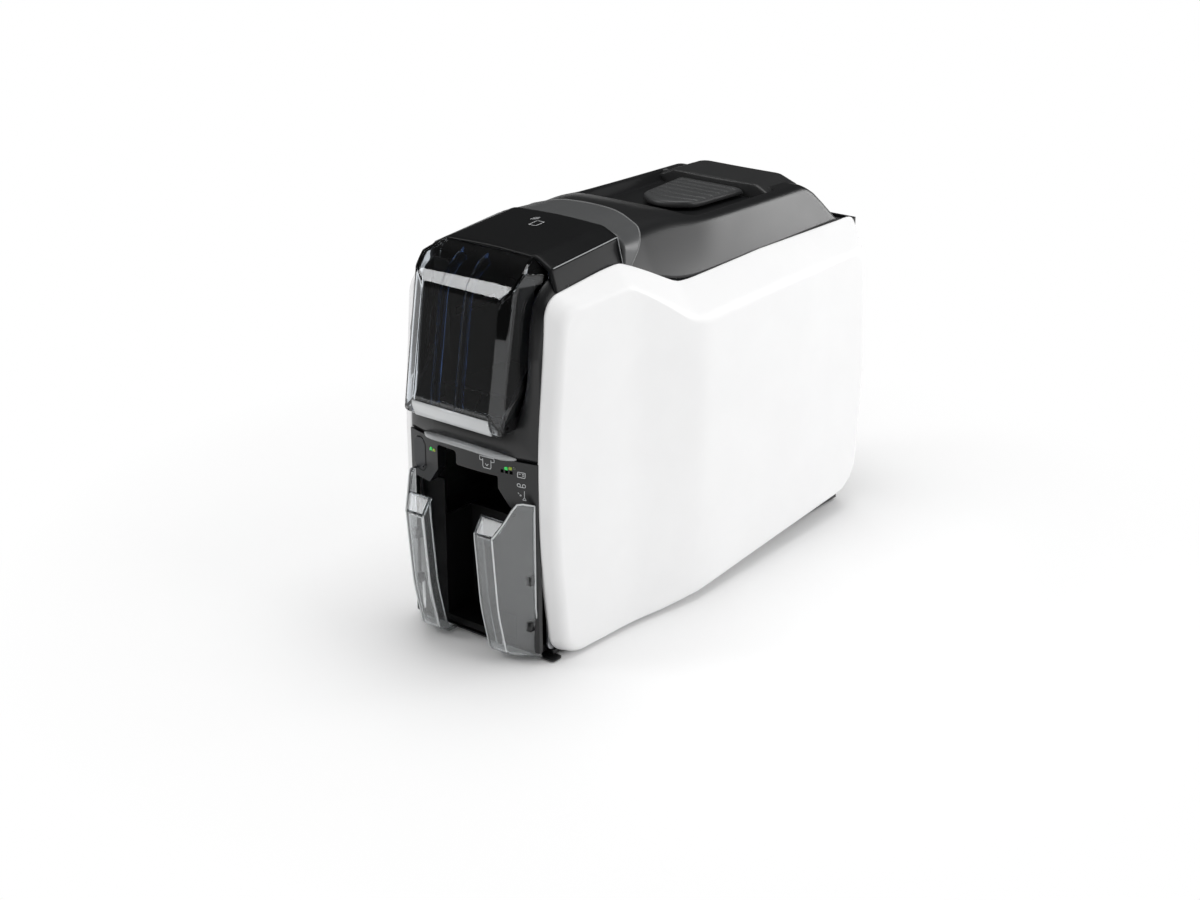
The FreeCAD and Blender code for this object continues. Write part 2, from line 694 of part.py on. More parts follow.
def fascia_y(x):
    """Front line of the bowed fascia at a place across it."""
    side_y = y_at(fascia_side_share)
    radius = (BEZEL_HALF ** 2 + FASCIA_BOW ** 2) / (2 * FASCIA_BOW)
    return side_y - FASCIA_BOW + radius - math.sqrt(radius ** 2 - x ** 2)


def power_button():
    """Key with a stem behind it that reaches the switch."""
    front = fascia_y(BUTTON_X) - BUTTON_PROUD
    key = prism_y(button_outline(0.0), front, y_at(fascia_side_share) + FASCIA_WALL)
    stem = rod_y(BUTTON_X, z_at(button_z_share), BUTTON_STEM_HALF, y_at(fascia_side_share),
                 y_at(fascia_side_share) + FASCIA_WALL + BUTTON_STEM)
    return joined([key, stem])


def switch_block():
    """Switch behind the button, held on the left plate."""
    y0 = y_at(fascia_side_share) + FASCIA_WALL + BUTTON_STEM + BUTTON_TRAVEL + SEAT
    z = z_at(button_z_share)
    side = BUTTON_STEM_HALF * 2
    body = block(-FRAME_IN, BUTTON_X + side, y0, y0 + side, z - side, z + side)
    return body


def status_lights():
    lenses = []
    for x, z in light_places():
        front = fascia_y(x) - RUN * 4
        lenses.append(block(x - LIGHT_SIZE / 2, x + LIGHT_SIZE / 2, front,
                            y_at(fascia_side_share) + FASCIA_WALL, z - LIGHT_SIZE / 2, z + LIGHT_SIZE / 2))
    return Part.makeCompound(lenses)


def feed_lip():
    """Clear ledge over the card slot, its ends swept back into the fascia."""
    top = z_at(fascia_split_share) - SEAM / 2
    front = fascia_y(0) - LIP_REACH
    plan = [(-LIP_HALF, fascia_y(LIP_HALF), 0.0), (-LIP_FRONT_HALF, front + SKIN, SKIN), (0.0, front, z_at(0.6)),
            (LIP_FRONT_HALF, front + SKIN, SKIN), (LIP_HALF, fascia_y(LIP_HALF), 0.0)]
    back = y_at(fascia_side_share) + FASCIA_WALL
    ledge = prism_z(plan + [(LIP_HALF, back, 0.0), (-LIP_HALF, back, 0.0)], top - LIP_THICK, top)
    return ledge.cut(bowed_solid(BEZEL_HALF, back + CUT, 0, HEIGHT))


def door_form(wall):
    """Closed form of the clear door. With a wall, it is moved inwards by it and left open to the rear."""
    side = outline(door_outline_shares)
    if wall:
        side = inset(side, wall)
        (top_y, top_z, top_r), (rear_y, rear_z, rear_r) = side[2], side[3]
        (low_y, low_z, low_r), (chin_y, chin_z, chin_r) = side[5], side[6]
        reach = REAR_Y
        roof = top_z + (rear_z - top_z) * (reach - top_y) / (rear_y - top_y)
        floor = low_z + (chin_z - low_z) * (reach - low_y) / (chin_y - low_y)
        side = side[:3] + [(reach, roof, 0.0), (reach, floor, 0.0), side[6]]
    half = DOOR_RIM_HALF - wall
    body = prism_x(side, -half, half)
    shoulder = DOOR_SHOULDER_HALF - wall
    flat = DOOR_FRONT_HALF - wall / 2
    rim_y = y_at(door_rim_y_share)
    lean = [(flat, 0.0), (shoulder, DOOR_SHOULDER_BACK), (half, rim_y - FRONT_Y)]
    low, high = outline(door_outline_shares)[0], outline(door_outline_shares)[1]
    slope = (high[0] - low[0]) / (high[1] - low[1])
    sections = []
    for z in (0.0, HEIGHT + CUT):
        y = low[0] + (z - low[1]) * slope + wall
        right = [(x, y + back, 0.0) for x, back in lean] + [(half, REAR_Y, 0.0)]
        sections.append(wire_z(right + [(-x, y, r) for x, y, r in right[::-1]], z))
    return body.common(Part.makeLoft(sections, True, True))


def input_door():
    """Clear shell, open to the rear, with two tall fins, two hinge pins and notches for the hinge lugs."""
    inner = door_form(CLEAR_WALL)
    shell = door_form(0.0).cut(inner)
    hinge_y, hinge_z = door_hinge()
    low, high = z_at(0.60), z_at(0.955)
    edge = [(FRONT_Y, low, 0.0), (y_at(-0.4790) + DOOR_FIN_DEPTH, low, 0.0),
            (y_at(-0.4760), z_at(0.77), z_at(0.30)), (y_at(-0.4330) + DOOR_FIN_DEPTH, high, 0.0),
            (FRONT_Y, high, 0.0)]
    parts = [shell]
    for side in (-1, 1):
        x = side * DOOR_FIN_X
        parts.append(prism_x(edge, x - DOOR_FIN_THICK / 2, x + DOOR_FIN_THICK / 2).common(inner))
    door = joined(parts)
    pins = []
    for side in (-1, 1):
        near, far = sorted((side * (DOOR_LUG_IN - DOOR_NOTCH_GAP), side * (DOOR_LUG_IN + DOOR_LUG_THICK + DOOR_NOTCH_GAP)))
        notch_y = hinge_y - DOOR_LUG_RADIUS - DOOR_NOTCH_GAP
        door = door.cut(block(near, far, notch_y, 0, z_at(0.50), hinge_z + DOOR_LUG_RADIUS))
        near, far = sorted((side * (DOOR_LUG_IN - SHEET), side * DOOR_RIM_HALF))
        pins.append(rod_x(hinge_y, hinge_z, DOOR_PIN_RADIUS, near, far).common(door_form(0.0)))
    return joined([door] + pins)


def door_hinge():
    return (y_at(door_hinge_y_share), z_at(door_hinge_z_share))


def hopper_box():
    """Inside of the input hopper: half width, front, rear, floor and top."""
    return (CARD_WIDTH / 2 + SEAM, y_at(hopper_front_share), y_at(hopper_rear_share), z_at(hopper_floor_share),
            z_at(hopper_roof_share))


def input_hopper():
    """Dark liner: card guides, floor with the feed gap, rear wall, front flanges and the door's hinge lugs."""
    half, front, rear, floor, top = hopper_box()
    wall = HOPPER_WALL
    flange = HOPPER_FLANGE_HALF
    parts = [block(-flange, flange, front, rear - HOPPER_SLOT, floor - wall, floor),
             block(-flange, flange, rear, rear + wall, floor - wall, top)]
    for side in (-1, 1):
        inner, outer = sorted((side * half, side * (half + wall)))
        guide = block(inner, outer, front, rear + wall, floor - wall, top)
        slot_low = z_at(pick_z_share) - PUSHER_SHOE / 2 - SEAT
        guide = guide.cut(block(inner - CUT, outer + CUT, front + wall * 3, rear - wall, slot_low,
                                slot_low + PUSHER_SHOE + SEAT * 2))
        inner, outer = sorted((side * half, side * flange))
        parts += [guide, block(inner, outer, front, front + wall, floor - wall, top)]
        inner, outer = sorted((side * flange, side * FRAME_IN))
        for z in (floor - wall, z_at(hopper_tab_share)):
            parts.append(block(min(inner, side * half), max(outer, side * half), rear - wall * 2, rear + wall, z,
                               z + wall * 2))
        hinge_y, hinge_z = door_hinge()
        lug_in, lug_out = sorted((side * DOOR_LUG_IN, side * (DOOR_LUG_IN + DOOR_LUG_THICK)))
        gusset = prism_x([(hinge_y - DOOR_LUG_RADIUS, hinge_z + DOOR_LUG_RADIUS / 2, DOOR_LUG_RADIUS / 3),
                          (front + wall, z_at(0.76), 0.0), (front + wall, hinge_z - DOOR_LUG_RADIUS, 0.0),
                          (hinge_y, hinge_z - DOOR_LUG_RADIUS, DOOR_LUG_RADIUS / 2)], lug_in, lug_out)
        boss = rod_x(hinge_y, hinge_z, DOOR_LUG_RADIUS, lug_in, lug_out)
        parts.append(gusset.fuse(boss).cut(rod_x(hinge_y, hinge_z, DOOR_PIN_RADIUS + RUN, -HALF_WIDTH, HALF_WIDTH)))
    shell = joined(parts)
    places = shaft_places()
    for name, radius, length in (("pick", PICK_RADIUS, PICK_HALF), ("feed", ROLLER_RADIUS, SLEEVE_HALF)):
        y, z = places[name]
        shell = shell.cut(rod_x(y, z, radius + SEAM, -length - SEAM, length + SEAM))
        shell = shell.cut(rod_x(y, z, SHAFT_RADIUS + SEAM, -HALF_WIDTH, HALF_WIDTH))
    return shell


def card_pusher():
    """Plate that presses the cards to the rear, with a shoe in the slot of each guide."""
    half, front, rear, floor, top = hopper_box()
    y1 = rear - HOPPER_SLOT
    low = floor + SEAM
    z = z_at(pick_z_share)
    plate = prism_y(rectangle(-PUSHER_HALF, PUSHER_HALF, low, z + PICK_RADIUS, HOPPER_SLOT), y1 - PUSHER_THICK, y1)
    shoe = block(-half - HOPPER_WALL - SEAT, half + HOPPER_WALL + SEAT, y1 - PUSHER_SHOE, y1, z - PUSHER_SHOE / 2,
                 z + PUSHER_SHOE / 2)
    return joined([plate, shoe])


def hood_section(y, wall, which):
    """Front outline of the hood at one end."""
    lower = z_at(hood_base_share) - CUT * bool(wall)
    edge, top, crown = z_at(hood_edge_shares[which]), z_at(hood_top_shares[which]), z_at(hood_crown_shares[which])
    right = [(HOOD_BASE_HALF - wall, lower, 0.0), (HOOD_EDGE_HALF - wall, edge - wall, HOOD_CORNER / 2),
             (HOOD_TOP_HALF - wall, top - wall, HOOD_CORNER), (0.0, crown - wall, z_at(1.0))]
    return wire_y(right + [(-x, z, r) for x, z, r in right[-2::-1]], y)


def front_hood():
    """Fixed hood between the clear door and the top cover."""
    y0, y1 = y_at(hood_front_share), y_at(hood_rear_share)
    outer = Part.makeLoft([hood_section(y0, 0.0, 0), hood_section(y1, 0.0, 1)], True, True)
    inner = Part.makeLoft([hood_section(y0 - SEAM, SKIN, 0), hood_section(y1 + SEAM, SKIN, 1)], True, True)
    return outer.cut(inner)


def cover_hinge():
    return (y_at(cover_hinge_y_share), z_at(cover_hinge_z_share))


def cover_section(i, wall):
    """Front outline of the cover at station i, its walls moved inwards by a wall."""
    low = z_at(0.70)
    right = [(COVER_BASE_HALVES[i] - wall, low, 0.0), (COVER_BASE_HALVES[i] - wall, z_at(cover_base_shares[i]), 0.0),
             (COVER_SHOULDER_HALVES[i] - wall, z_at(cover_shoulder_shares[i]) - wall, 0.0),
             (COVER_TOP_HALVES[i] - wall / 2, z_at(cover_top_shares[i]) - wall, 0.0),
             (0.0, z_at(cover_crown_shares[i]) - wall, 0.0)]
    return wire_y(right + [(-x, z, r) for x, z, r in right[-2::-1]], y_at(cover_station_shares[i]))


def cover_form(wall):
    """Solid form of the whole top cover."""
    body = Part.makeLoft([cover_section(i, wall) for i in range(len(cover_station_shares))], True, True)
    side = outline(cover_side_shares)
    if wall:
        front_y, rear_y, low = side[0][0], side[-3][0], z_at(cover_open_share)
        side = inset([(front_y, low, 0.0)] + side[1:-3] + [(rear_y, low, 0.0)], wall)
    return body.common(prism_x(side, -HALF_WIDTH, HALF_WIDTH))


def well_form(grow):
    """Sunken area of the cover, grown by a wall."""
    y0, y1 = y_at(well_front_share), y_at(well_rear_share)
    top = rectangle(-WELL_TOP_HALF - grow, WELL_TOP_HALF + grow, y0 - grow, y1 + grow, WELL_CORNER)
    slope = WELL_SLOPE
    foot = rectangle(-WELL_FLOOR_HALF - grow, WELL_FLOOR_HALF + grow, y0 + slope - grow, y1 - slope / 2 + grow,
                     WELL_CORNER)
    return Part.makeLoft([wire_z(foot, z_at(well_floor_share) - grow), wire_z(top, z_at(0.962))], True, True)


def band_zone():
    """The space in front of the leaning rear edge of the arch band."""
    (low_y, low_z), (high_y, high_z) = [(y_at(y), z_at(z)) for y, z in band_rear_shares]
    lean = (high_y - low_y) / (high_z - low_z)
    foot = low_y - (low_z - z_at(0.70)) * lean
    peak = high_y + (z_at(1.10) - high_z) * lean
    return prism_x([(FRONT_Y, z_at(0.70), 0.0), (foot, z_at(0.70), 0.0), (peak, z_at(1.10), 0.0),
                    (FRONT_Y, z_at(1.10), 0.0)], -HALF_WIDTH, HALF_WIDTH)


def latch_places():
    y = y_at(latch_stem_y_share)
    return [(-LATCH_STEM_X, y), (LATCH_STEM_X, y)]


def top_cover():
    """Cover shell with its sunken area, two hinge ears, two hook ribs and the stem holes."""
    shell = cover_form(0.0).cut(well_form(0.0))
    shell = shell.cut(cover_form(SKIN).cut(well_form(SKIN)))
    shell = shell.cut(band_zone())
    hinge_y, hinge_z = cover_hinge()
    under = z_at(well_floor_share) - SKIN
    parts = [shell]
    for side in (-1, 1):
        inner, outer = sorted((side * COVER_EAR_X, side * (COVER_EAR_X + COVER_EAR_THICK)))
        reach = prism_x([(hinge_y - COVER_EAR_RADIUS * 3, hinge_z, 0.0),
                         (hinge_y - COVER_EAR_RADIUS * 3, z_at(0.95), 0.0), (hinge_y, z_at(0.95), 0.0),
                         (hinge_y + COVER_EAR_RADIUS, hinge_z, 0.0)], inner, outer)
        ear = reach.common(cover_form(SKIN / 2)).fuse(rod_x(hinge_y, hinge_z, COVER_EAR_RADIUS, inner, outer))
        parts.append(ear.cut(rod_x(hinge_y, hinge_z, COVER_PIN_RADIUS, inner - CUT, outer + CUT)))
        inner, outer = sorted((side * HOOK_BLOCK_X, side * (HOOK_BLOCK_X + HOOK_THICK)))
        y, z = y_at(hook_y_share), z_at(hook_z_share)
        rib = block(inner, outer, y - HOOK_THICK * 2, y + HOOK_THICK * 2, z - HOOK_THICK, under + SEAT)
        parts.append(rib.cut(rod_x(y, z, HOOK_SHAFT_RADIUS + RUN, inner - CUT, outer + CUT)))
    cover = joined(parts)
    for x, y in latch_places():
        cover = cover.cut(rod_z(x, y, LATCH_STEM_RADIUS + RUN * 2, under - CUT, z_at(0.96)))
    return cover


def cover_band():
    """Satin arch at the front edge of the cover."""
    return cover_form(0.0).cut(cover_form(SKIN)).common(band_zone())


def rear_cap():
    """Raised cap behind the latch button."""
    y0, y1 = y_at(cap_front_share), y_at(cap_rear_share)
    foot = rectangle(-CAP_FOOT_HALF, CAP_FOOT_HALF, y0, y1, CAP_CORNER)
    top = rectangle(-CAP_TOP_HALF, CAP_TOP_HALF, y_at(cap_top_shares[0]), y_at(cap_top_shares[1]), CAP_CORNER)
    block_form = Part.makeLoft([wire_z(foot, z_at(cap_foot_share)), wire_z(top, z_at(cap_top_share))], True, True)
    whole = block_form.cut(cover_form(0.0).cut(well_form(0.0)))
    return max(whole.Solids, key=lambda s: s.Volume)


def cover_gasket():
    """Dark strip under the long side edges of the cover."""
    x1 = COVER_BASE_HALVES[-1]
    z1 = z_at(cover_side_shares[-1][1])
    strip = block(x1 - SKIN, x1, y_at(cover_station_shares[2]), y_at(0.44), z1 - SKIN / 2, z1)
    return Part.makeCompound([strip, mirrored(strip)])


def cover_hinge_pins():
    y, z = cover_hinge()
    pin = rod_x(y, z, COVER_PIN_RADIUS, COVER_EAR_X - SHEET, FRAME_OUT + SHEET)
    return Part.makeCompound([pin, mirrored(pin)])


def latch_button():
    """Grooved pad in the sunken area, with two stems through the cover."""
    y0, y1 = y_at(latch_front_share), y_at(latch_rear_share)
    z0 = z_at(well_floor_share) + LATCH_LIFT
    z1 = z0 + LATCH_THICK
    plan = [(-LATCH_FRONT_HALF, y0, LATCH_CORNER), (LATCH_FRONT_HALF, y0, LATCH_CORNER),
            (LATCH_REAR_HALF, y1, SKIN), (-LATCH_REAR_HALF, y1, SKIN)]
    pad = prism_z(plan, z0, z1)
    for i in range(LATCH_GROOVES):
        y = y0 + (y1 - y0) * (i + 1) / (LATCH_GROOVES + 1)
        pad = pad.cut(block(-HALF_WIDTH, HALF_WIDTH, y - LATCH_GROOVE_WIDTH / 2, y + LATCH_GROOVE_WIDTH / 2,
                            z1 - LATCH_GROOVE_DEPTH, z1 + CUT))
    stems = [rod_z(x, y, LATCH_STEM_RADIUS, z0 - LATCH_STEM_LENGTH, z0) for x, y in latch_places()]
    return joined([pad] + stems)


def coil(x, y, radius, z0, z1):
    """Spring of square wire between two seats, lofted through sections along its helix."""
    half = SPRING_WIRE / 2
    count = int(SPRING_TURNS * SPRING_SECTIONS)
    corners = ((-half, -half), (half, -half), (half, half), (-half, half), (-half, -half))
    sections = []
    for i in range(count + 1):
        angle = math.tau * i / SPRING_SECTIONS
        middle = z0 + half + (z1 - z0 - SPRING_WIRE) * i / count
        ring = [V(x + (radius + a) * math.cos(angle), y + (radius + a) * math.sin(angle), middle + b) for a, b in corners]
        sections.append(Part.makePolygon(ring))
    return Part.makeLoft(sections, True, True)


def latch_springs():
    z1 = z_at(well_floor_share) + LATCH_LIFT - LATCH_STEM_LENGTH
    z0 = z_at(bracket_plate_share)
    radius = LATCH_STEM_RADIUS - SPRING_WIRE
    return Part.makeCompound([coil(x, y, radius, z0, z1) for x, y in latch_places()])


def latch_hooks():
    """Two hooks on one cross shaft under the cover."""
    y, z = y_at(hook_y_share), z_at(hook_z_share)
    tip = z_at(hook_tip_share)
    shaft = rod_x(y, z, HOOK_SHAFT_RADIUS, -HOOK_X - HOOK_WIDTH, HOOK_X + HOOK_WIDTH)
    lever = [(y - HOOK_THICK, z + HOOK_THICK, HOOK_THICK / 2), (y - HOOK_THICK / 2, tip, 0.0),
             (y + HOOK_THICK / 2 + HOOK_NOSE, tip, 0.0), (y + HOOK_THICK / 2, tip + HOOK_NOSE, 0.0),
             (y + HOOK_THICK, z + HOOK_THICK, HOOK_THICK / 2)]
    hook = prism_x(lever, HOOK_X, HOOK_X + HOOK_WIDTH)
    return joined([shaft, hook, mirrored(hook)])


def head_bracket():
    """Steel stirrup under the cover: two cheeks, a plate for the latch springs and a seat for the head springs."""
    cheek = prism_x(outline(bracket_shares), HEAD_BRACKET_HALF - SHEET, HEAD_BRACKET_HALF)
    y0, y1 = y_at(bracket_shares[0][0]), y_at(bracket_shares[2][0])
    plate_z = z_at(bracket_plate_share)
    seat_z = z_at(spring_seat_share)
    plate = block(-HEAD_BRACKET_HALF, HEAD_BRACKET_HALF, y0, y1 + HEAD_THICK, plate_z - SHEET, plate_z)
    seat = block(-HEAD_BRACKET_HALF, HEAD_BRACKET_HALF, y0, y_at(head_rear_share), seat_z, seat_z + SHEET)
    pivot_y, pivot_z = y_at(head_pivot_shares[0]), z_at(head_pivot_shares[1])
    hole = rod_x(pivot_y, pivot_z, HEAD_PIN_RADIUS + RUN, -HALF_WIDTH, HALF_WIDTH)
    hook_hole = rod_x(y_at(hook_y_share), z_at(hook_z_share), HOOK_SHAFT_RADIUS + SEAT, -HALF_WIDTH, HALF_WIDTH)
    return less(joined([cheek, mirrored(cheek), plate, seat]), [hole, hook_hole])


def printhead():
    """Head block with cooling fins, a ceramic edge over the platen and two arms to its pivot."""
    y0, y1 = y_at(head_front_share), y_at(head_rear_share)
    z0 = PATH_Z + FILM_LIFT + FILM_THICK + SEAM
    z1 = z0 + HEAD_HEIGHT - HEAD_TIP
    body = block(-HEAD_HALF, HEAD_HALF, y0, y1, z0 + HEAD_TIP, z1)
    for i in range(1, 5):
        y = y0 + (y1 - y0) * i / 5
        body = body.cut(block(-HEAD_HALF - CUT, HEAD_HALF + CUT, y - SHEET / 2, y + SHEET / 2, z1 - HEAD_HEIGHT / 3,
                              z1 + CUT))
    centre = y_at(platen_y_share)
    tip = block(-HEAD_HALF, HEAD_HALF, centre - HEAD_THICK, centre + HEAD_THICK, z0, z0 + HEAD_TIP)
    pivot_y, pivot_z = y_at(head_pivot_shares[0]), z_at(head_pivot_shares[1])
    inner, outer = HEAD_BRACKET_HALF - SHEET * 2 - SEAT * 2, HEAD_BRACKET_HALF - SHEET - SEAT * 2
    arm = prism_x([(y0, z0 + HEAD_TIP, 0.0), (y0, z1 - HEAD_HEIGHT / 2, 0.0), (pivot_y, pivot_z + HEAD_THICK, 0.0),
                   (pivot_y + HEAD_THICK, pivot_z, 0.0), (y1, z0 + HEAD_TIP, 0.0)], inner, outer)
    web = block(HEAD_HALF - SHEET, inner, y0, y1, z0 + HEAD_TIP, z0 + HEAD_TIP * 2)
    pin = rod_x(pivot_y, pivot_z, HEAD_PIN_RADIUS, inner, HEAD_BRACKET_HALF + SEAT)
    side = joined([arm, web, pin])
    return joined([body, tip, side, mirrored(side)])


def head_springs():
    z0 = PATH_Z + FILM_LIFT + FILM_THICK + SEAM + HEAD_HEIGHT - HEAD_TIP
    z1 = z_at(spring_seat_share)
    y = (y_at(head_front_share) + y_at(head_rear_share)) / 2
    return Part.makeCompound([coil(x, y, HEAD_SPRING_RADIUS, z0, z1) for x in (-HEAD_SPRING_X, HEAD_SPRING_X)])


def motors():
    """Side and place of each motor, never closer to the rollers above it than the gap."""
    highest = PATH_Z - CARD_THICK / 2 - ROLLER_RADIUS * 2 - MOTOR_GAP - MOTOR_SIZE / 2
    return {name: (side, y_at(y), min(z_at(z), highest)) for name, (side, y, z) in motor_shares.items()}


def takeup_place():
    return (y_at(takeup_y_share), z_at(spool_z_share))


def supply_place():
    return (y_at(supply_y_share), z_at(spool_z_share))


def stepper_motors():
    """Four equal square motors, each on its plate."""
    bodies = []
    half = MOTOR_SIZE / 2
    for side, y, z in motors().values():
        case = prism_x(rectangle(y - half, y + half, z - half, z + half, HEAD_TIP), FRAME_IN - MOTOR_LENGTH, FRAME_IN)
        case = case.fuse(rod_x(y, z, BEARING_RADIUS, FRAME_IN, FRAME_OUT))
        case = case.cut(rod_x(y, z, MOTOR_SHAFT_RADIUS + RUN, FRAME_IN - MOTOR_LENGTH / 2, FRAME_OUT + CUT))
        bodies.append(case if side > 0 else mirrored(case))
    return Part.makeCompound(bodies)


def pulley(y, z, bore_end):
    """Belt pulley outside the right plate on a shaft that ends at bore_end."""
    x0 = FRAME_OUT + SEAM
    x1 = x0 + PULLEY_FLANGE * 2 + PULLEY_WIDTH
    return joined([rod_x(y, z, PULLEY_RADIUS + PULLEY_LIP, x0, x0 + PULLEY_FLANGE),
                   rod_x(y, z, PULLEY_RADIUS, x0, x1),
                   rod_x(y, z, PULLEY_RADIUS + PULLEY_LIP, x1 - PULLEY_FLANGE, x1),
                   rod_x(y, z, MOTOR_SHAFT_RADIUS if bore_end else SHAFT_RADIUS, bore_end or -FRAME_OUT, x1)])


def motor_pulley(name):
    side, y, z = motors()[name]
    shape = pulley(y, z, FRAME_IN - MOTOR_LENGTH / 2 + SEAM)
    return shape if side > 0 else mirrored(shape)


def roller(name, sleeve_radius, sleeve_half, side):
    """Steel shaft with its pulley, and the rubber sleeve on it."""
    y, z = shaft_places()[name]
    shaft = pulley(y, z, None)
    sleeve = tube_x(y, z, sleeve_radius, SHAFT_RADIUS, -sleeve_half, sleeve_half)
    if side < 0:
        shaft = mirrored(shaft)
    return Part.makeCompound([shaft, sleeve])


def idle_roller(name, radius):
    """Sprung roller above the path: shaft and sleeve in two solids."""
    y, z = shaft_places()[name]
    shaft = rod_x(y, z, SHAFT_RADIUS, -FRAME_OUT, FRAME_OUT)
    return Part.makeCompound([shaft, tube_x(y, z, radius, SHAFT_RADIUS, -SLEEVE_HALF, SLEEVE_HALF)])


def card_drum():
    """Turning drum: two discs, two slotted bars that hold the card between them, and its stub shafts."""
    y, z = shaft_places()["drum"]
    disc = rod_x(y, z, DRUM_RADIUS, DRUM_HALF - DRUM_WEB, DRUM_HALF)
    bars = []
    for side in (-1, 1):
        low, high = sorted((side * DRUM_SLOT / 2, side * (DRUM_SLOT / 2 + DRUM_WEB)))
        reach = math.sqrt(DRUM_RADIUS ** 2 - high ** 2) if side > 0 else math.sqrt(DRUM_RADIUS ** 2 - low ** 2)
        bars.append(block(-DRUM_HALF, DRUM_HALF, y - reach, y + reach, z + low, z + high))
    drum = joined([disc, mirrored(disc)] + bars)
    x1 = FRAME_OUT + SEAM
    stub = rod_x(y, z, SHAFT_RADIUS, DRUM_HALF, FRAME_OUT)
    wheel = joined([rod_x(y, z, PULLEY_RADIUS + PULLEY_LIP, x1, x1 + PULLEY_FLANGE),
                    rod_x(y, z, PULLEY_RADIUS, x1, x1 + PULLEY_FLANGE * 2 + PULLEY_WIDTH),
                    rod_x(y, z, PULLEY_RADIUS + PULLEY_LIP, x1 + PULLEY_FLANGE + PULLEY_WIDTH,
                          x1 + PULLEY_FLANGE * 2 + PULLEY_WIDTH),
                    rod_x(y, z, SHAFT_RADIUS, DRUM_HALF, x1)])
    return joined([drum, stub, mirrored(wheel)])


def loop_outline(places, radius):
    """Hull of equal circles round two places, or round three places given anticlockwise."""
    if len(places) == 2:
        (ay, az), (by, bz) = places
        along = unit(by - ay, bz - az)
        across = (-along[1], along[0])
        corners = []
        for (y, z), end, side in ((places[0], -1, -1), (places[1], 1, -1), (places[1], 1, 1), (places[0], -1, 1)):
            corners.append((y + (end * along[0] + side * across[0]) * radius,
                            z + (end * along[1] + side * across[1]) * radius, radius * (1 - RUN / CUT)))
        return corners
    return [(y, z, radius) for y, z, r in inset([(y, z, 0.0) for y, z in places], -radius)]


def belt(places, side):
    """Closed belt round the pulleys."""
    x0 = FRAME_OUT + SEAM + PULLEY_FLANGE + RUN * 2
    x1 = x0 + PULLEY_WIDTH - RUN * 4
    outer = prism_x(loop_outline(places, PULLEY_RADIUS + BELT_GAP + BELT_THICK), x0, x1)
    shape = outer.cut(prism_x(loop_outline(places, PULLEY_RADIUS + BELT_GAP), x0 - CUT, x1 + CUT))
    return shape if side > 0 else mirrored(shape)


def drive_belts():
    spots = shaft_places()
    places = {name: (y, z) for name, (side, y, z) in motors().items()}
    return Part.makeCompound([
        belt([places["main"], spots["exit"], spots["entry"]], 1),
        belt([places["feed"], spots["pick"], spots["feed"]], -1),
        belt([places["drum"], spots["drum"]], -1),
        belt([places["ribbon"], takeup_place()], -1)])


def ribbon_drive():
    """Pulley shaft that turns the take-up spool through the left plate."""
    y, z = takeup_place()
    return mirrored(pulley(y, z, None).common(block(CASSETTE_HALF - CASSETTE_WALL - SPOOL_HUB, HALF_WIDTH,
                                                    y - MOTOR_SIZE, y + MOTOR_SIZE, z - MOTOR_SIZE, z + MOTOR_SIZE)))


def ribbon_cassette():
    """Two side frames and two bars that carry the spools."""
    x1 = CASSETTE_HALF
    bar_y = supply_place()[0] - SUPPLY_RADIUS - BAR_GAP - CASSETTE_BAR / 2
    line = outline(cassette_shares)
    line[:2] = [(bar_y - CASSETTE_BAR / 2 - BAR_RIM, z, radius) for y, z, radius in line[:2]]
    side = prism_x(line, x1 - CASSETTE_WALL, x1)
    side = side.cut(prism_x(outline(cassette_window_shares), x1 - CUT, x1 + CUT))
    for y, z in (supply_place(), takeup_place()):
        side = side.cut(rod_x(y, z, SPOOL_HUB + SHAFT_RADIUS / 2 + RUN, x1 - CUT, x1 + CUT))
    places = [(bar_y, z_at(front_bar_share)), (y_at(rear_bar_shares[0]), z_at(rear_bar_shares[1]))]
    bars = [rod_x(y, z, CASSETTE_BAR / 2, -x1, x1) for y, z in places]
    return joined([side, mirrored(side)] + bars)


def spool(place, ribbon_radius):
    """Core with hubs in the cassette, and the ribbon wound on it."""
    y, z = place
    core = joined([rod_x(y, z, SPOOL_RADIUS, -RIBBON_HALF, RIBBON_HALF),
                   rod_x(y, z, SPOOL_HUB + SHAFT_RADIUS / 2, -CASSETTE_HALF, CASSETTE_HALF)])
    socket = rod_x(y, z, SHAFT_RADIUS, -HALF_WIDTH, -CASSETTE_HALF + CASSETTE_WALL + SPOOL_HUB)
    roll = tube_x(y, z, ribbon_radius, SPOOL_RADIUS, -RIBBON_HALF + SHEET, RIBBON_HALF - SHEET)
    return Part.makeCompound([core.cut(socket), roll])


def ribbon_film():
    """Film from the supply roll, flat over the platen, up to the take-up roll."""
    z0 = PATH_Z + FILM_LIFT
    front, rear = (y_at(film_front_share), z0), (y_at(film_rear_share), z0)
    starts = []
    for (cy, cz), radius, corner, turn in ((supply_place(), SUPPLY_RADIUS, front, 1),
                                           (takeup_place(), TAKEUP_RADIUS, rear, -1)):
        dy, dz = cy - corner[0], cz - corner[1]
        distance = math.hypot(dy, dz)
        angle = math.atan2(dz, dy) - turn * math.asin((radius + FILM_THICK) / distance)
        length = math.sqrt(distance ** 2 - radius ** 2)
        starts.append((corner[0] + math.cos(angle) * length, corner[1] + math.sin(angle) * length))
    centre = [starts[0], front, rear, starts[1]]
    points = [(y, z, 0.0) for y, z in centre] + [(y, z + FILM_THICK, 0.0) for y, z in centre[::-1]]
    return prism_x(points, -RIBBON_HALF + SHEET * 2, RIBBON_HALF - SHEET * 2)


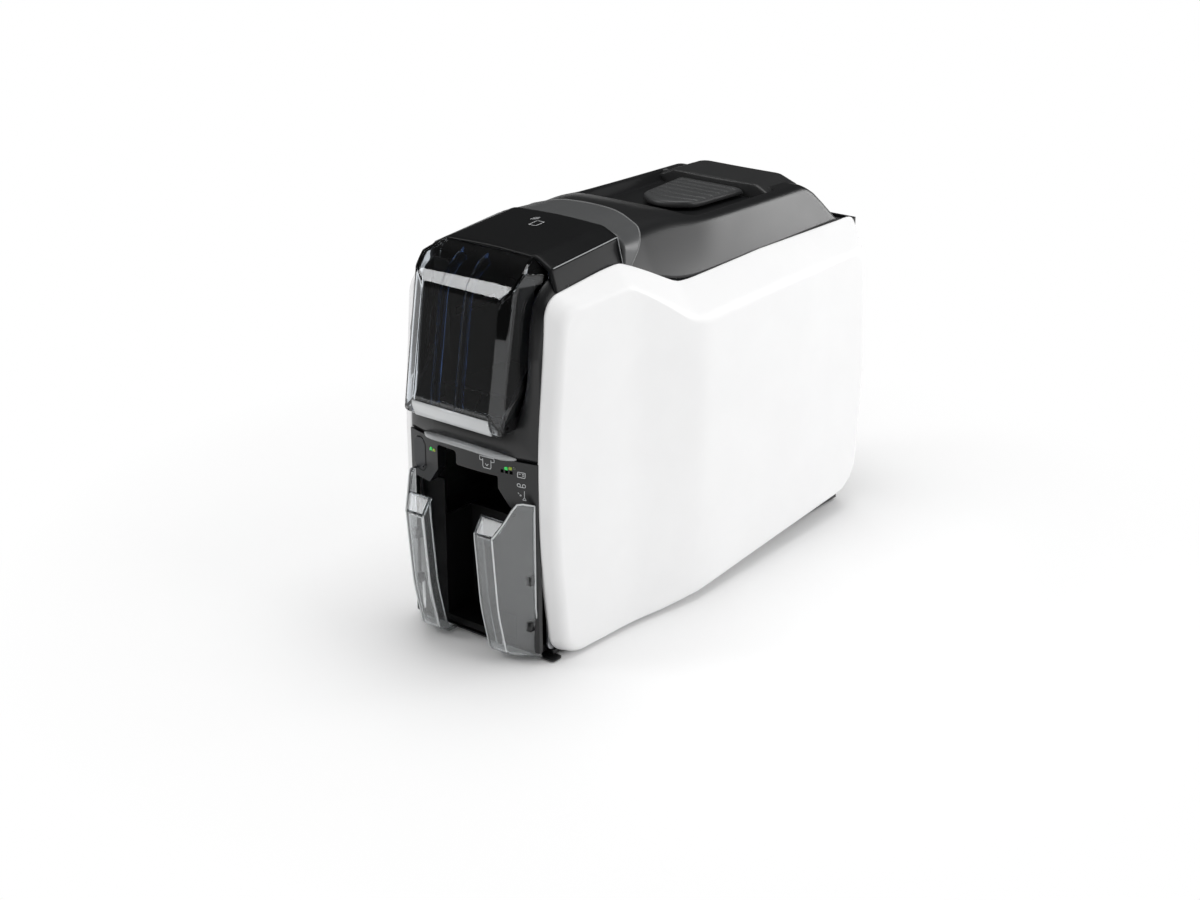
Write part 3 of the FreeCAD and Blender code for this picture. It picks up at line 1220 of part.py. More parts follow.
def output_tray():
    """Dark cavity behind the clear wings, open at the front."""
    y0, y1 = y_at(tray_front_share), y_at(tray_back_share)
    z0, top = z_at(tray_floor_share), z_at(tray_top_share)
    wall = THIN_WALL
    flange = WING_ROOT_HALF - SEAT
    parts = [block(-flange, flange, y0, y1, z0, z0 + wall),
             block(-TRAY_HALF - wall, TRAY_HALF + wall, y1 - wall, y1, z0, top)]
    for side in (-1, 1):
        a, b = sorted((side * TRAY_HALF, side * (TRAY_HALF + wall)))
        parts.append(block(a, b, y0, y1, z0, top))
        a, b = sorted((side * TRAY_HALF, side * flange))
        parts.append(block(a, b, y0, y0 + wall, z0, z_at(fascia_low_share) - SEAT))
    parts.append(block(-flange, flange, y0, y1, FOOT_HEIGHT + BASE_FLOOR, z0))
    return joined(parts)


def wing_front(z):
    """Leaning front line of the wings."""
    points = [(y_at(y), z_at(h)) for y, h, r in wing_side_shares[:4]][::-1]
    for (ya, za), (yb, zb) in zip(points, points[1:]):
        if z <= zb or (yb, zb) == points[-1]:
            return ya + (yb - ya) * (z - za) / (zb - za)
    return points[-1][0]


def wing():
    """Right clear wing: inner flange, leaning front wall and splayed side wall in one bent sheet."""
    wall = CLEAR_WALL
    root_y = y_at(wing_side_shares[5][0])
    sections = []
    for share in (0.0130, 0.0950, 0.2000, 0.3100, 0.4300):
        z = z_at(share)
        y = wing_front(z)
        sections.append(wire_z([(WING_INNER, y + WING_FLANGE, 0.0), (WING_INNER, y, 0.0), (WING_CORNER, y, 0.0),
                                (WING_ROOT_HALF, root_y, 0.0), (WING_ROOT_HALF - wall, root_y, 0.0),
                                (WING_CORNER - wall / 2, y + wall, 0.0), (WING_INNER + wall, y + wall, 0.0),
                                (WING_INNER + wall, y + WING_FLANGE, 0.0)], z))
    sheet = Part.makeLoft(sections, True, True)
    top = [(y_at(-0.52), 0.0, 0.0), (y_at(-0.52), z_at(0.343), 0.0), (y_at(-0.4995), z_at(0.343), 0.0),
           (y_at(-0.4625), z_at(0.416), SKIN), (y_at(-0.4450), z_at(0.3930), 0.0), (y_at(-0.40), z_at(0.3930), 0.0),
           (y_at(-0.40), 0.0, 0.0)]
    return sheet.common(prism_x(top, -HALF_WIDTH, HALF_WIDTH))


def port_places():
    """Sockets on the rear edge of the board: middle, width, height and depth."""
    return {"power": (INLET_X, INLET_WIDTH, INLET_HEIGHT, INLET_DEPTH),
            "usb": (USB_X, USB_WIDTH, USB_HEIGHT, USB_DEPTH), "network": (LAN_X, LAN_WIDTH, LAN_HEIGHT, LAN_DEPTH)}


def port_face():
    """Where the sockets end, level with the rear wall."""
    return REAR_Y - PORT_INSET


def port_box(name, grow):
    x, width, height, depth = port_places()[name]
    z0 = z_at(board_z_share) + BOARD_THICK
    y1 = port_face()
    return block(x - width / 2 - grow, x + width / 2 + grow, y1 - depth, y1 + grow * REAR_Y, z0 - grow,
                 z0 + height + grow)


def rear_panel():
    """Rear wall that follows the casing, with vents, port openings and a lock slot."""
    line = casing_outline(RIM_REAR)
    line[4] = (line[4][0], line[4][1] + REAR_RISE, 0.0)
    outer = prism_x(inset(line, -REAR_PROUD), -RIM_REAR + SEAM, RIM_REAR - SEAM)
    inner = prism_x(inset(line, REAR_WALL - REAR_PROUD), -HALF_WIDTH, HALF_WIDTH)
    zone = block(-HALF_WIDTH, HALF_WIDTH, y_at(0.43), REAR_Y, REAR_BOTTOM, z_at(rear_top_share))
    wall = outer.cut(inner).common(zone)
    for name in port_places():
        wall = wall.cut(port_box(name, SEAT * 2))
    for i in range(VENT_SLOTS):
        x = (i - (VENT_SLOTS - 1) / 2) * VENT_PITCH
        slot = rectangle(x - VENT_WIDTH / 2, x + VENT_WIDTH / 2, z_at(0.42), z_at(0.42) + VENT_LENGTH, VENT_WIDTH / 3)
        wall = wall.cut(prism_y(slot, y_at(0.43), REAR_Y + CUT))
    z = z_at(board_z_share) + LAN_HEIGHT / 2
    lock = rectangle(LOCK_X - LOCK_WIDTH / 2, LOCK_X + LOCK_WIDTH / 2, z - LOCK_HEIGHT / 2, z + LOCK_HEIGHT / 2,
                     LOCK_HEIGHT / 3)
    return wall.cut(prism_y(lock, y_at(0.43), REAR_Y + CUT))


def main_board():
    """Board with its larger chips and four posts that stand on the base."""
    z0 = z_at(board_z_share)
    z1 = z0 + BOARD_THICK
    y0, y1 = y_at(board_front_share), port_face() - THIN_WALL
    parts = [block(-BOARD_HALF, BOARD_HALF, y0, y1, z0, z1)]
    span = y1 - y0
    for x_share, y_share, size_share, tall in ((-0.45, 0.35, 0.30, SHEET), (0.40, 0.30, 0.22, SHEET),
                                               (0.10, 0.55, 0.16, SKIN), (0.65, 0.60, 0.12, BUTTON_STEM)):
        half = BOARD_HALF * size_share
        x, y = BOARD_HALF * x_share, y0 + span * y_share
        parts.append(block(x - half, x + half, y - half, y + half, z1, z1 + tall))
    for x in (-BOARD_HALF + FOOT_RADIUS, BOARD_HALF - FOOT_RADIUS):
        for y in (y0 + FOOT_RADIUS, y1 - LAN_DEPTH - FOOT_RADIUS):
            parts.append(rod_z(x, y, TIE_RADIUS, FOOT_HEIGHT + BASE_FLOOR, z0))
    return joined(parts)


def socket(name, opening):
    """Metal shell of a socket with its opening to the rear."""
    return port_box(name, 0.0).cut(opening)


def power_inlet():
    x, width, height, depth = port_places()["power"]
    z = z_at(board_z_share) + BOARD_THICK + height / 2
    hole = rod_y(x, z, INLET_HOLE_RADIUS, port_face() - depth + PORT_WALL * 2, REAR_Y + CUT)
    pin = rod_y(x, z, INLET_HOLE_RADIUS / 3, port_face() - depth + PORT_WALL, port_face() - PORT_WALL)
    return joined([socket("power", hole), pin])


def usb_socket():
    x, width, height, depth = port_places()["usb"]
    z = z_at(board_z_share) + BOARD_THICK
    hole = block(x - width / 2 + PORT_WALL, x + width / 2 - PORT_WALL, port_face() - depth + PORT_WALL * 2,
                 REAR_Y + CUT, z + PORT_WALL, z + height - PORT_WALL)
    tongue = block(x - width / 5, x + width / 5, port_face() - depth + PORT_WALL, port_face() - PORT_WALL,
                   z + height * 0.36, z + height * 0.64)
    return joined([socket("usb", hole), tongue])


def network_socket():
    x, width, height, depth = port_places()["network"]
    z = z_at(board_z_share) + BOARD_THICK
    hole = block(x - width / 2 + PORT_WALL * 2, x + width / 2 - PORT_WALL * 2, port_face() - depth + PORT_WALL * 2,
                 REAR_Y + CUT, z + PORT_WALL * 2, z + height - PORT_WALL * 2)
    return socket("network", hole)


os.makedirs("parts", exist_ok=True)
right_panel = side_panel()
save("right_side_panel", right_panel)
save("left_side_panel", mirrored(right_panel))
save("base_tray", base_tray())
save("rubber_feet", rubber_feet())
save("right_frame_plate", frame_plate(1))
save("left_frame_plate", mirrored(frame_plate(-1)))
save("bearings", bearings())
save("frame_ties", frame_ties())
save("frame_screws", frame_screws())
save("front_bezel", front_bezel())
save("lower_fascia", lower_fascia())
save("power_button", power_button())
save("power_switch", switch_block())
save("status_lights", status_lights())
save("feed_lip", feed_lip())
save("input_door", input_door())
save("input_hopper", input_hopper())
save("card_pusher", card_pusher())
save("front_hood", front_hood())
save("top_cover", top_cover())
save("cover_band", cover_band())
save("rear_cap", rear_cap())
save("cover_gasket", cover_gasket())
save("cover_hinge_pins", cover_hinge_pins())
save("latch_button", latch_button())
save("latch_springs", latch_springs())
save("latch_hooks", latch_hooks())
save("head_bracket", head_bracket())
save("printhead", printhead())
save("head_springs", head_springs())
save("stepper_motors", stepper_motors())
for motor_name in motor_shares:
    save(motor_name + "_motor_pulley", motor_pulley(motor_name))
save("entry_roller", roller("entry", ROLLER_RADIUS, SLEEVE_HALF, 1))
save("platen_roller", roller("platen", ROLLER_RADIUS, SLEEVE_HALF, 1))
save("exit_roller", roller("exit", ROLLER_RADIUS, SLEEVE_HALF, 1))
save("feed_roller", roller("feed", ROLLER_RADIUS, SLEEVE_HALF, -1))
save("pick_roller", roller("pick", PICK_RADIUS, PICK_HALF, -1))
save("entry_pinch_roller", idle_roller("entry_pinch", PINCH_RADIUS))
save("exit_pinch_roller", idle_roller("exit_pinch", PINCH_RADIUS))
save("cleaning_roller", idle_roller("cleaner", PINCH_RADIUS))
save("card_drum", card_drum())
save("drive_belts", drive_belts())
save("ribbon_drive", ribbon_drive())
save("ribbon_cassette", ribbon_cassette())
save("supply_spool", spool(supply_place(), SUPPLY_RADIUS))
save("takeup_spool", spool(takeup_place(), TAKEUP_RADIUS))
save("ribbon_film", ribbon_film())
save("output_tray", output_tray())
right_wing = wing()
save("right_wing", right_wing)
save("left_wing", mirrored(right_wing))
save("rear_panel", rear_panel())
save("main_board", main_board())
save("power_inlet", power_inlet())
save("usb_socket", usb_socket())
save("network_socket", network_socket())
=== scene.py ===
# %% [markdown]
# A compact id card printer stands on a pale floor. The engineering model gives every hidden part its place.
# This lesson dresses it: smooth moulded shells, clear hopper parts and the small marks on the front.
# All lengths are in millimetres and become metres when a mesh is made.

# %% Load the frame
import json
import math
import bpy
import numpy as np
from mathutils import Matrix, Vector


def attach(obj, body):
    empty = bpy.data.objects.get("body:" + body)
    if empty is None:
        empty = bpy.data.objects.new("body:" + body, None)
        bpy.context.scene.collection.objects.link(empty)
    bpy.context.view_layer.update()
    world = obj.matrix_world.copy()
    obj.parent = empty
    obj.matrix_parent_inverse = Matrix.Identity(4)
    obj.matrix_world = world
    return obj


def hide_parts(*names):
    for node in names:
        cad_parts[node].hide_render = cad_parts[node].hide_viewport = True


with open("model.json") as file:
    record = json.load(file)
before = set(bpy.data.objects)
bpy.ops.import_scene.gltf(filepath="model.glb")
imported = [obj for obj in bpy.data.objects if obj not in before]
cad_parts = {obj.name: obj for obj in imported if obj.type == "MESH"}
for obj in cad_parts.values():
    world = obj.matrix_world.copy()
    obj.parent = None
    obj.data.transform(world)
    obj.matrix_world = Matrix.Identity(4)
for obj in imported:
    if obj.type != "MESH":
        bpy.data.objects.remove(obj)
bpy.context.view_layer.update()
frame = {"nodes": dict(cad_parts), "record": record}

MM = 0.001

# %% [markdown]
# The camera is set first, because every piece is judged through it. The photograph was taken from the front
# right, a little above. The camera looks along a fixed direction, and its lens and place came from fitting
# known edges of the printer.

# %% Camera
AZIMUTH, ELEVATION, FOCAL_PX = 37.83, 22.12, 1995.67
CAMERA_PLACE = (770.71, -1026.93, 603.63)
SENSOR_WIDTH, PHOTO_WIDTH = 36.0, 1200.0
azimuth, elevation = math.radians(AZIMUTH), math.radians(ELEVATION)
forward = Vector((-math.sin(azimuth) * math.cos(elevation), math.cos(azimuth) * math.cos(elevation),
                  -math.sin(elevation)))
right = Vector((math.cos(azimuth), math.sin(azimuth), 0.0))
up = right.cross(forward)
lens_data = bpy.data.cameras.new("camera")
lens_data.sensor_width = SENSOR_WIDTH
lens_data.lens = FOCAL_PX * SENSOR_WIDTH / PHOTO_WIDTH
lens_data.clip_end = 20.0
camera = bpy.data.objects.new("camera", lens_data)
bpy.context.collection.objects.link(camera)
turn = Matrix((right, up, -forward)).transposed().to_4x4()
camera.matrix_world = Matrix.Translation(Vector(CAMERA_PLACE) * MM) @ turn
bpy.context.scene.camera = camera
print("lens", round(lens_data.lens, 2), "mm")

# %% [markdown]
# Materials are made of nodes. They could be wired one by one, but the maths of a pattern is easier to read as
# a Python expression. One small class wraps a socket and gives it the usual operators.

# %% A socket that can be added and multiplied
class Wire:
    """Wraps an output socket. Sums, products and differences of wires become Math nodes.

    A number minus a wire is the wire times minus one, plus the number. clamp limits a wire to 0 to 1.
    """

    def __init__(self, tree, socket):
        self.tree, self.socket = tree, socket

    def maths(self, operation, *others):
        node = self.tree.nodes.new("ShaderNodeMath")
        node.operation = operation
        for inlet, value in zip(node.inputs, (self,) + others):
            plug(self.tree, inlet, value)
        return Wire(self.tree, node.outputs[0])

    def __add__(self, other):
        return self.maths("ADD", other)

    __radd__ = __add__

    def __mul__(self, other):
        return self.maths("MULTIPLY", other)

    __rmul__ = __mul__

    def __sub__(self, other):
        return self.maths("SUBTRACT", other)

    def __rsub__(self, other):
        return (self * -1.0) + other

    def clamp(self):
        return self.maths("MAXIMUM", 0.0).maths("MINIMUM", 1.0)


def plug(tree, inlet, value):
    """Sets an input socket from a number, a colour or a wire."""
    if isinstance(value, Wire):
        tree.links.new(value.socket, inlet)
    elif isinstance(value, (tuple, list)) and len(value) == 3 and inlet.type == "RGBA":
        inlet.default_value = tuple(value) + (1.0,)
    else:
        inlet.default_value = value


def make_node(tree, kind, settings=None, outlet=0, **inlets):
    """Adds a node of a type, sets its settings, then fills its sockets by name."""
    node = tree.nodes.new(kind)
    for key, value in (settings or {}).items():
        if key == "stops":
            ramp = node.color_ramp
            while len(ramp.elements) < len(value):
                ramp.elements.new(0.5)
            for element, (place, colour) in zip(ramp.elements, value):
                element.position = place
                element.color = tuple(colour) + (1.0,)
        else:
            setattr(node, key, value)
    for name, value in inlets.items():
        plug(tree, node.inputs[name.replace("_", " ")], value)
    return Wire(tree, node.outputs[outlet])


def new_material(name):
    """A material with its node tree, its Principled shader and a wire that gives Object coordinates."""
    material = bpy.data.materials.new(name)
    material.use_nodes = True
    tree = material.node_tree
    return material, tree, tree.nodes["Principled BSDF"], make_node(tree, "ShaderNodeTexCoord", outlet=3)


def tune(material, **settings):
    """Sets plain values on the Principled shader by socket name and gives the material back."""
    shader = material.node_tree.nodes["Principled BSDF"]
    for name, value in settings.items():
        plug(material.node_tree, shader.inputs[name.replace("_", " ")], value)
    return material


print("wire helper ready")

# %% [markdown]
# The casing is moulded plastic, which is never perfectly even. Spark-eroded moulds leave a fine grain, and
# handling leaves soft variation in gloss. An image could carry this, but noise has no seams. One recipe with
# a few numbers covers all the casing plastics.

# %% Moulded plastic
SLOW_NOISE, GRAIN_DEPTH = 22.0, 0.05


def plastic(name, colour, roughness, grain=0.12, grain_size=0.35, variation=0.05, coat=0.0):
    """Principled plastic: noise of grain_size mm bumps it, slow noise shifts colour and gloss a little."""
    material, tree, shader, place = new_material(name)
    slow = make_node(tree, "ShaderNodeTexNoise", Vector=place, Scale=SLOW_NOISE, Detail=3.0, Roughness=0.55)
    fine = make_node(tree, "ShaderNodeTexNoise", Vector=place, Scale=1.0 / (grain_size * MM), Detail=2.0)
    low = tuple(max(c * (1 - variation * 1.5), 0.0) for c in colour)
    high = tuple(min(c * (1 + variation), 1.0) for c in colour)
    mix = make_node(tree, "ShaderNodeValToRGB", {"stops": [(0.3, low), (0.7, high)]}, Fac=slow)
    plug(tree, shader.inputs["Base Color"], mix)
    plug(tree, shader.inputs["Roughness"], (slow * (variation * 1.6) + (roughness - variation * 0.8)).clamp())
    bump = make_node(tree, "ShaderNodeBump", Height=fine, Strength=grain, Distance=GRAIN_DEPTH * MM)
    plug(tree, shader.inputs["Normal"], bump)
    print("material", name)
    return tune(material, Coat_Weight=coat)


white = plastic("white_shell", (0.84, 0.84, 0.842), 0.42, variation=0.01)
dark = plastic("dark_shell", (0.0075, 0.0078, 0.0085), 0.30, variation=0.06)
cover_black = plastic("grey_shell", (0.010, 0.0104, 0.011), 0.34, variation=0.06)
liner = tune(plastic("black_liner", (0.004, 0.004, 0.0045), 0.6, variation=0.08), Specular_IOR_Level=0.2)
satin = plastic("grey_satin", (0.07, 0.072, 0.073), 0.40, variation=0.04)
button_grey = plastic("button_grey", (0.035, 0.037, 0.040), 0.33)
rubber = plastic("rubber", (0.018, 0.018, 0.018), 0.75, grain=0.3, grain_size=0.5)
cassette_white = plastic("cassette_white", (0.62, 0.63, 0.65), 0.45)
film = plastic("ribbon_film", (0.16, 0.02, 0.05), 0.15, coat=0.6)
board = plastic("board_green", (0.012, 0.095, 0.035), 0.4, variation=0.15)
lens = plastic("light_lens", (0.55, 0.70, 0.58), 0.2, coat=0.5)

# %% [markdown]
# Inner parts are steel and bronze. Rolled sheet shows fine streaks along its length, so noise that is
# stretched along one axis drives the roughness.

# %% Metals
STREAK_SCALE = (600.0, 60.0, 600.0)


def metal(name, colour, roughness):
    """Metal with streaks: noise stretched ten times along Y drives roughness and a little colour."""
    material, tree, shader, place = new_material(name)
    drawn = make_node(tree, "ShaderNodeMapping", Vector=place, Scale=STREAK_SCALE)
    streak = make_node(tree, "ShaderNodeTexNoise", Vector=drawn, Scale=1.0, Detail=3.0)
    low = tuple(c * 0.85 for c in colour)
    mix = make_node(tree, "ShaderNodeValToRGB", {"stops": [(0.25, low), (0.75, colour)]}, Fac=streak)
    plug(tree, shader.inputs["Base Color"], mix)
    plug(tree, shader.inputs["Roughness"], (streak * 0.2 + (roughness - 0.1)).clamp())
    print("material", name)
    return tune(material, Metallic=1.0)


steel = metal("steel", (0.62, 0.63, 0.65), 0.35)
bronze = metal("bronze", (0.60, 0.45, 0.25), 0.35)
spring_steel = metal("spring_steel", (0.5, 0.51, 0.53), 0.3)
motor_case = metal("motor_case", (0.16, 0.16, 0.17), 0.4)

# %% [markdown]
# The door and the wings are clear, slightly smoky plastic about two millimetres thick. Alpha would make them
# look like painted glass. Transmission with the refractive index of acrylic bends light at the bent edges,
# which is what makes them show up pale. Wings and lip are frosted, so a part of their light stays diffuse.

# %% Clear plastic
ACRYLIC_IOR = 1.49


def clear_plastic(name, tint, roughness=0.02):
    """Transmissive acrylic: slow noise varies its tint and its gloss a little."""
    material, tree, shader, place = new_material(name)
    slow = make_node(tree, "ShaderNodeTexNoise", Vector=place, Scale=30.0, Detail=2.0)
    low = tuple(c * 0.96 for c in tint)
    mix = make_node(tree, "ShaderNodeValToRGB", {"stops": [(0.3, low), (0.7, tint)]}, Fac=slow)
    plug(tree, shader.inputs["Base Color"], mix)
    plug(tree, shader.inputs["Roughness"], slow * 0.02 + roughness)
    print("material", name)
    return tune(material, Transmission_Weight=1.0, IOR=ACRYLIC_IOR)


clear = tune(clear_plastic("clear_grey", (0.82, 0.85, 0.88), 0.0), Specular_IOR_Level=0.32)
clear_wing = tune(clear_plastic("clear_wing", (0.90, 0.925, 0.935), 0.04), Transmission_Weight=0.90)
clear_lip = tune(clear_plastic("clear_lip", (0.86, 0.88, 0.89), 0.12), Transmission_Weight=0.66)
# Pale frosted plastic: the door's real frosted grip, and a painted highlight on the wings' edge beads.
frosted_and_painted_highlight = tune(clear_plastic("frosted_and_painted_highlight", (0.88, 0.90, 0.91), 0.15), Transmission_Weight=0.35)

# %% [markdown]
# Every part of the engineering model keeps its shape unless a piece replaces it. The record names a finish
# slot for each part, so one table turns slots into materials.

# %% Materials for the engineering parts
finish_of_slot = {"white_shell": white, "dark_shell": dark, "grey_shell": cover_black, "black_liner": liner,
                  "clear_grey": clear, "grey_satin": satin, "button_grey": button_grey, "light_lens": lens,
                  "steel": steel, "bronze": bronze, "spring_steel": spring_steel, "rubber": rubber,
                  "motor_case": motor_case, "board_green": board, "ribbon_film": film,
                  "cassette_white": cassette_white}
slot_of_node = {entry["node"]: entry["material_slot"] for entry in frame["record"]["subparts"]}
EXTRA_SLOTS = {"clear_wing": "clear_grey", "clear_lip": "clear_grey", "frosted_and_painted_highlight": "clear_grey",
               "fin_blue": "clear_grey", "hood_black": "dark_shell", "pad_satin": "dark_shell",
               "cap_satin": "dark_shell", "painted_arch_highlight": "grey_satin", "painted_edge_highlight": "grey_satin",
               "mark_ink": "cassette_white", "lit_green": "light_lens", "lit_amber": "light_lens",
               "unlit_lens": "light_lens"}


def slot_name(material, node=None):
    """The record's slot of a piece: from the part it stands for, or from its material."""
    if node:
        return slot_of_node[node]
    own = [slot for slot, finish in finish_of_slot.items() if finish == material]
    return EXTRA_SLOTS.get(material.name) or own[0]


def repaint(obj, material):
    """Puts one material in every slot of an object."""
    if not obj.material_slots:
        obj.data.materials.append(material)
    for slot in obj.material_slots:
        slot.material = material


for node, obj in frame["nodes"].items():
    repaint(obj, finish_of_slot[slot_of_node[node]])
repaint(frame["nodes"]["right_wing"], clear_wing)
repaint(frame["nodes"]["left_wing"], clear_wing)
print(len(frame["nodes"]), "parts have a finish")

# %% [markdown]
# The shells of the printer are injection moulded, so every edge is round and every wall is thin. Bevel
# modifiers would round all edges of a box alike. So each shell is a grid of points worked out with numpy, and
# the outlines it comes from are rounded first. One helper rounds the corners of a closed loop, and one rounds
# those of many open paths at once.

# %% Paths with round corners
def rounded_loop(corners, arc_steps=12, run_steps=14):
    """Closed path through corners (a, b, radius).

    At each corner the two runs meet at an angle. The tangent length is the radius divided by the tangent of
    half that angle, and the arc turns by what is left to a half turn. Every corner gets arc_steps points and
    every run run_steps points, so two loops with matching corners have matching points.
    """
    table = np.array(corners, dtype=float)
    spot, radius = table[:, :2], table[:, 2:]
    back, ahead = np.roll(spot, 1, 0) - spot, np.roll(spot, -1, 0) - spot
    back /= np.linalg.norm(back, axis=1, keepdims=True)
    ahead /= np.linalg.norm(ahead, axis=1, keepdims=True)
    half = np.arccos(np.clip((back * ahead).sum(1, keepdims=True), -1, 1)) / 2
    between = (back + ahead) / np.linalg.norm(back + ahead, axis=1, keepdims=True)
    centre = spot + between * radius / np.sin(half)
    start, end = spot + back * radius / np.tan(half), spot + ahead * radius / np.tan(half)
    first = start - centre
    side = np.sign(first[:, :1] * (end - centre)[:, 1:] - first[:, 1:] * (end - centre)[:, :1])
    angle = np.arctan2(first[:, 1:], first[:, :1]) + side * (np.pi - 2 * half) * np.linspace(0, 1, arc_steps)
    arc = centre[:, None] + radius[:, None] * np.stack([np.cos(angle), np.sin(angle)], axis=-1)
    share = (np.arange(run_steps) + 1)[:, None] / (run_steps + 1)
    run = end[:, None] + (np.roll(start, -1, 0) - end)[:, None] * share
    return np.concatenate([arc, run], axis=1).reshape(-1, 2)


def soften(corners, reach, arc_steps=8, run_steps=6):
    """Open paths with soft corners, for an array shaped (..., corners, dimensions).

    Each inner corner becomes a parabola that leaves one run and joins the next. It starts reach before the
    corner, or at 0.45 of the shorter run. Between parabolas the path is straight.
    """
    corners = np.asarray(corners, dtype=float)
    steps = np.diff(corners, axis=-2)
    length = np.linalg.norm(steps, axis=-1)
    reach = np.broadcast_to(np.asarray(reach, dtype=float), length[..., 1:].shape)
    near = np.minimum(np.minimum(length[..., 1:], length[..., :-1]) * 0.45, reach)[..., None]
    direction = steps / np.maximum(length, 1e-9)[..., None]
    middle = corners[..., 1:-1, :]
    enter, leave = middle - direction[..., :-1, :] * near, middle + direction[..., 1:, :] * near
    t = np.linspace(0, 1, arc_steps)[:, None]
    bend = (enter[..., None, :] * (1 - t) ** 2 + middle[..., None, :] * 2 * t * (1 - t)
            + leave[..., None, :] * t ** 2)
    begin = np.concatenate([corners[..., :1, :], leave], axis=-2)[..., None, :]
    finish = np.concatenate([enter, corners[..., -1:, :]], axis=-2)[..., None, :]
    inner = (np.arange(run_steps) + 1)[:, None] / (run_steps + 1)
    run = begin + (finish - begin) * inner
    parts = [corners[..., :1, :]]
    for k in range(bend.shape[-3]):
        parts += [run[..., k, :, :], bend[..., k, :, :]]
    return np.concatenate(parts + [run[..., -1, :, :], corners[..., -1:, :]], axis=-2)


def resampled(path, count):
    """The same path with count points, evenly spaced along it."""
    length = np.append(0, np.cumsum(np.linalg.norm(np.diff(path, axis=0), axis=1)))
    at = np.linspace(0, length[-1], count)
    return np.stack([np.interp(at, length, column) for column in path.T], axis=1)


def smooth_min(a, b, width):
    """Lower of two heights, with the crease between them filled by a parabola as wide as width."""
    gap = np.clip(0.5 + 0.5 * (b - a) / width, 0, 1)
    return b + (a - b) * gap - width * gap * (1 - gap)


def bent_plan(y, x0, x1, y0, y1, reach):
    """Half width that is x0 before y0 and x1 behind y1, straight between, with soft bends 2 * reach long."""
    def ramp(u):
        """Zero, then a parabola around u = 0, then a straight slope of one."""
        return np.where(np.abs(u) < reach, (u + reach) ** 2 / (4 * reach), np.maximum(u, 0))
    return x0 + (x1 - x0) / (y1 - y0) * (ramp(y - y0) - ramp(y - y1))


def on_x(pairs, x):
    """Adds an x column to (y, z) pairs."""
    column = np.broadcast_to(np.asarray(x, dtype=float), pairs.shape[:-1])
    return np.concatenate([column[..., None], pairs], axis=-1)


print("loop of a square has", len(rounded_loop([(0, 0, 1), (9, 0, 1), (9, 9, 1), (0, 9, 1)])), "points")

# %% [markdown]
# A moulding is a skin of even thickness. It could be pushed and pulled by hand, but then no number would be
# left to change. Here the neighbours in a grid of points are joined into quads, and a modifier adds the wall
# on the inner side.

# %% Grids become meshes
def new_object(name, places, faces, material):
    """Mesh object with one material, from points in metres and the faces that join them."""
    mesh = bpy.data.meshes.new(name)
    mesh.from_pydata(places, [], faces)
    mesh.materials.append(material)
    obj = bpy.data.objects.new(name, mesh)
    bpy.context.collection.objects.link(obj)
    return obj


def shell(name, points, material, node=None, rides="printer", closed=False, pole=None, cap=None, flip=False,
          wall=0.0):
    """Joins a grid (rows, columns, xyz in mm) into quads.

    closed joins the last column to the first. pole and cap are single points that close the last and the
    first row. flip turns the faces round where the grid runs the other way. wall gives the sheet a thickness
    towards its inner side.
    """
    rows, columns = points.shape[:2]
    index = np.arange(rows * columns).reshape(rows, columns)
    wrap = np.concatenate([index, index[:, :1]], axis=1) if closed else index
    quads = np.stack([wrap[:-1, :-1], wrap[:-1, 1:], wrap[1:, 1:], wrap[1:, :-1]], axis=-1).reshape(-1, 4)
    faces, places = quads.tolist(), points.reshape(-1, 3)
    for row, tip, order in ((wrap[-1], pole, 1), (wrap[0], cap, -1)):
        if tip is not None:
            last = len(places)
            places = np.vstack([places, tip])
            faces += [[a, b, last][::order] for a, b in zip(row[:-1].tolist(), row[1:].tolist())]
    if flip:
        faces = [face[::-1] for face in faces]
    obj = new_object(name, (places * MM).tolist(), faces, material)
    obj.data.shade_smooth()
    if wall:
        thick = obj.modifiers.new("wall", "SOLIDIFY")
        thick.thickness = wall * MM
        thick.offset = -1.0
    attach(obj, rides)
    if node:
        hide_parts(node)
    slot_name(material, node)
    print(name, len(faces), "faces")


def closed_bar(name, grid, material, **more):
    """Shell whose columns close around, with a centre point at both ends."""
    shell(name, grid, material, closed=True, pole=grid[-1].mean(0), cap=grid[0].mean(0), **more)


print("shell builder ready")

# %% [markdown]
# The white side panels are the largest mouldings, two millimetres thick. A box with a bevel modifier would
# have the same round edge all over, while the real bevel is narrow in front and broad on top. So each panel
# is drawn by two loops of matched points, one at the rim and one on the face. The bevel runs straight between
# them, and the plan narrows towards the front in a soft S.

# %% Side panels
RIM = [(-163.9, 150.1, 500), (-155.0, 240.9, 14.7), (-84.0, 247.9, 20.0), (-31.9, 235.2, 33.0),
       (62.0, 236.4, 60.0), (189.6, 231.4, 7.0), (189.9, 101.8, 160.8), (183.9, 9.6, 24.1),
       (-60.2, 2.3, 214), (-153.2, 2.3, 17.0), (-163.5, 80.4, 450)]
FACE = [(-149.5, 150.1, 500), (-140.8, 221.5, 15.0), (-98.0, 227.0, 22.8), (-38.0, 199.9, 42.9),
        (62.0, 201.2, 30.0), (173.7, 201.5, 14.0), (179.8, 101.8, 160.8), (173.0, 19.8, 24.1),
        (-60.2, 3.2, 214), (-141.2, 2.3, 14.7), (-149.5, 80.4, 450)]
RIM_X, RIM_WIDE_X, RIM_BEND = 53.0, 62.0, (-88.4, -32.0, 18.0)
FACE_NARROW_X, FACE_X, FACE_BEND = 67.6, 79.0, (-84.6, -24.8, 6.6)
FRONT_TAPER, HUB = 0.069, (12.0, 116.0)
RIM_INWARD, RIM_DEEP, FACE_ROUND = 2.5, 3.5, 11.0
PANEL_SOFT, PANEL_WALL = np.array([1.2, 7.0]), 2.0


def rim_plan(y):
    """Half width of the rim, an S from narrow to wide."""
    return bent_plan(y, RIM_X, RIM_WIDE_X, *RIM_BEND)


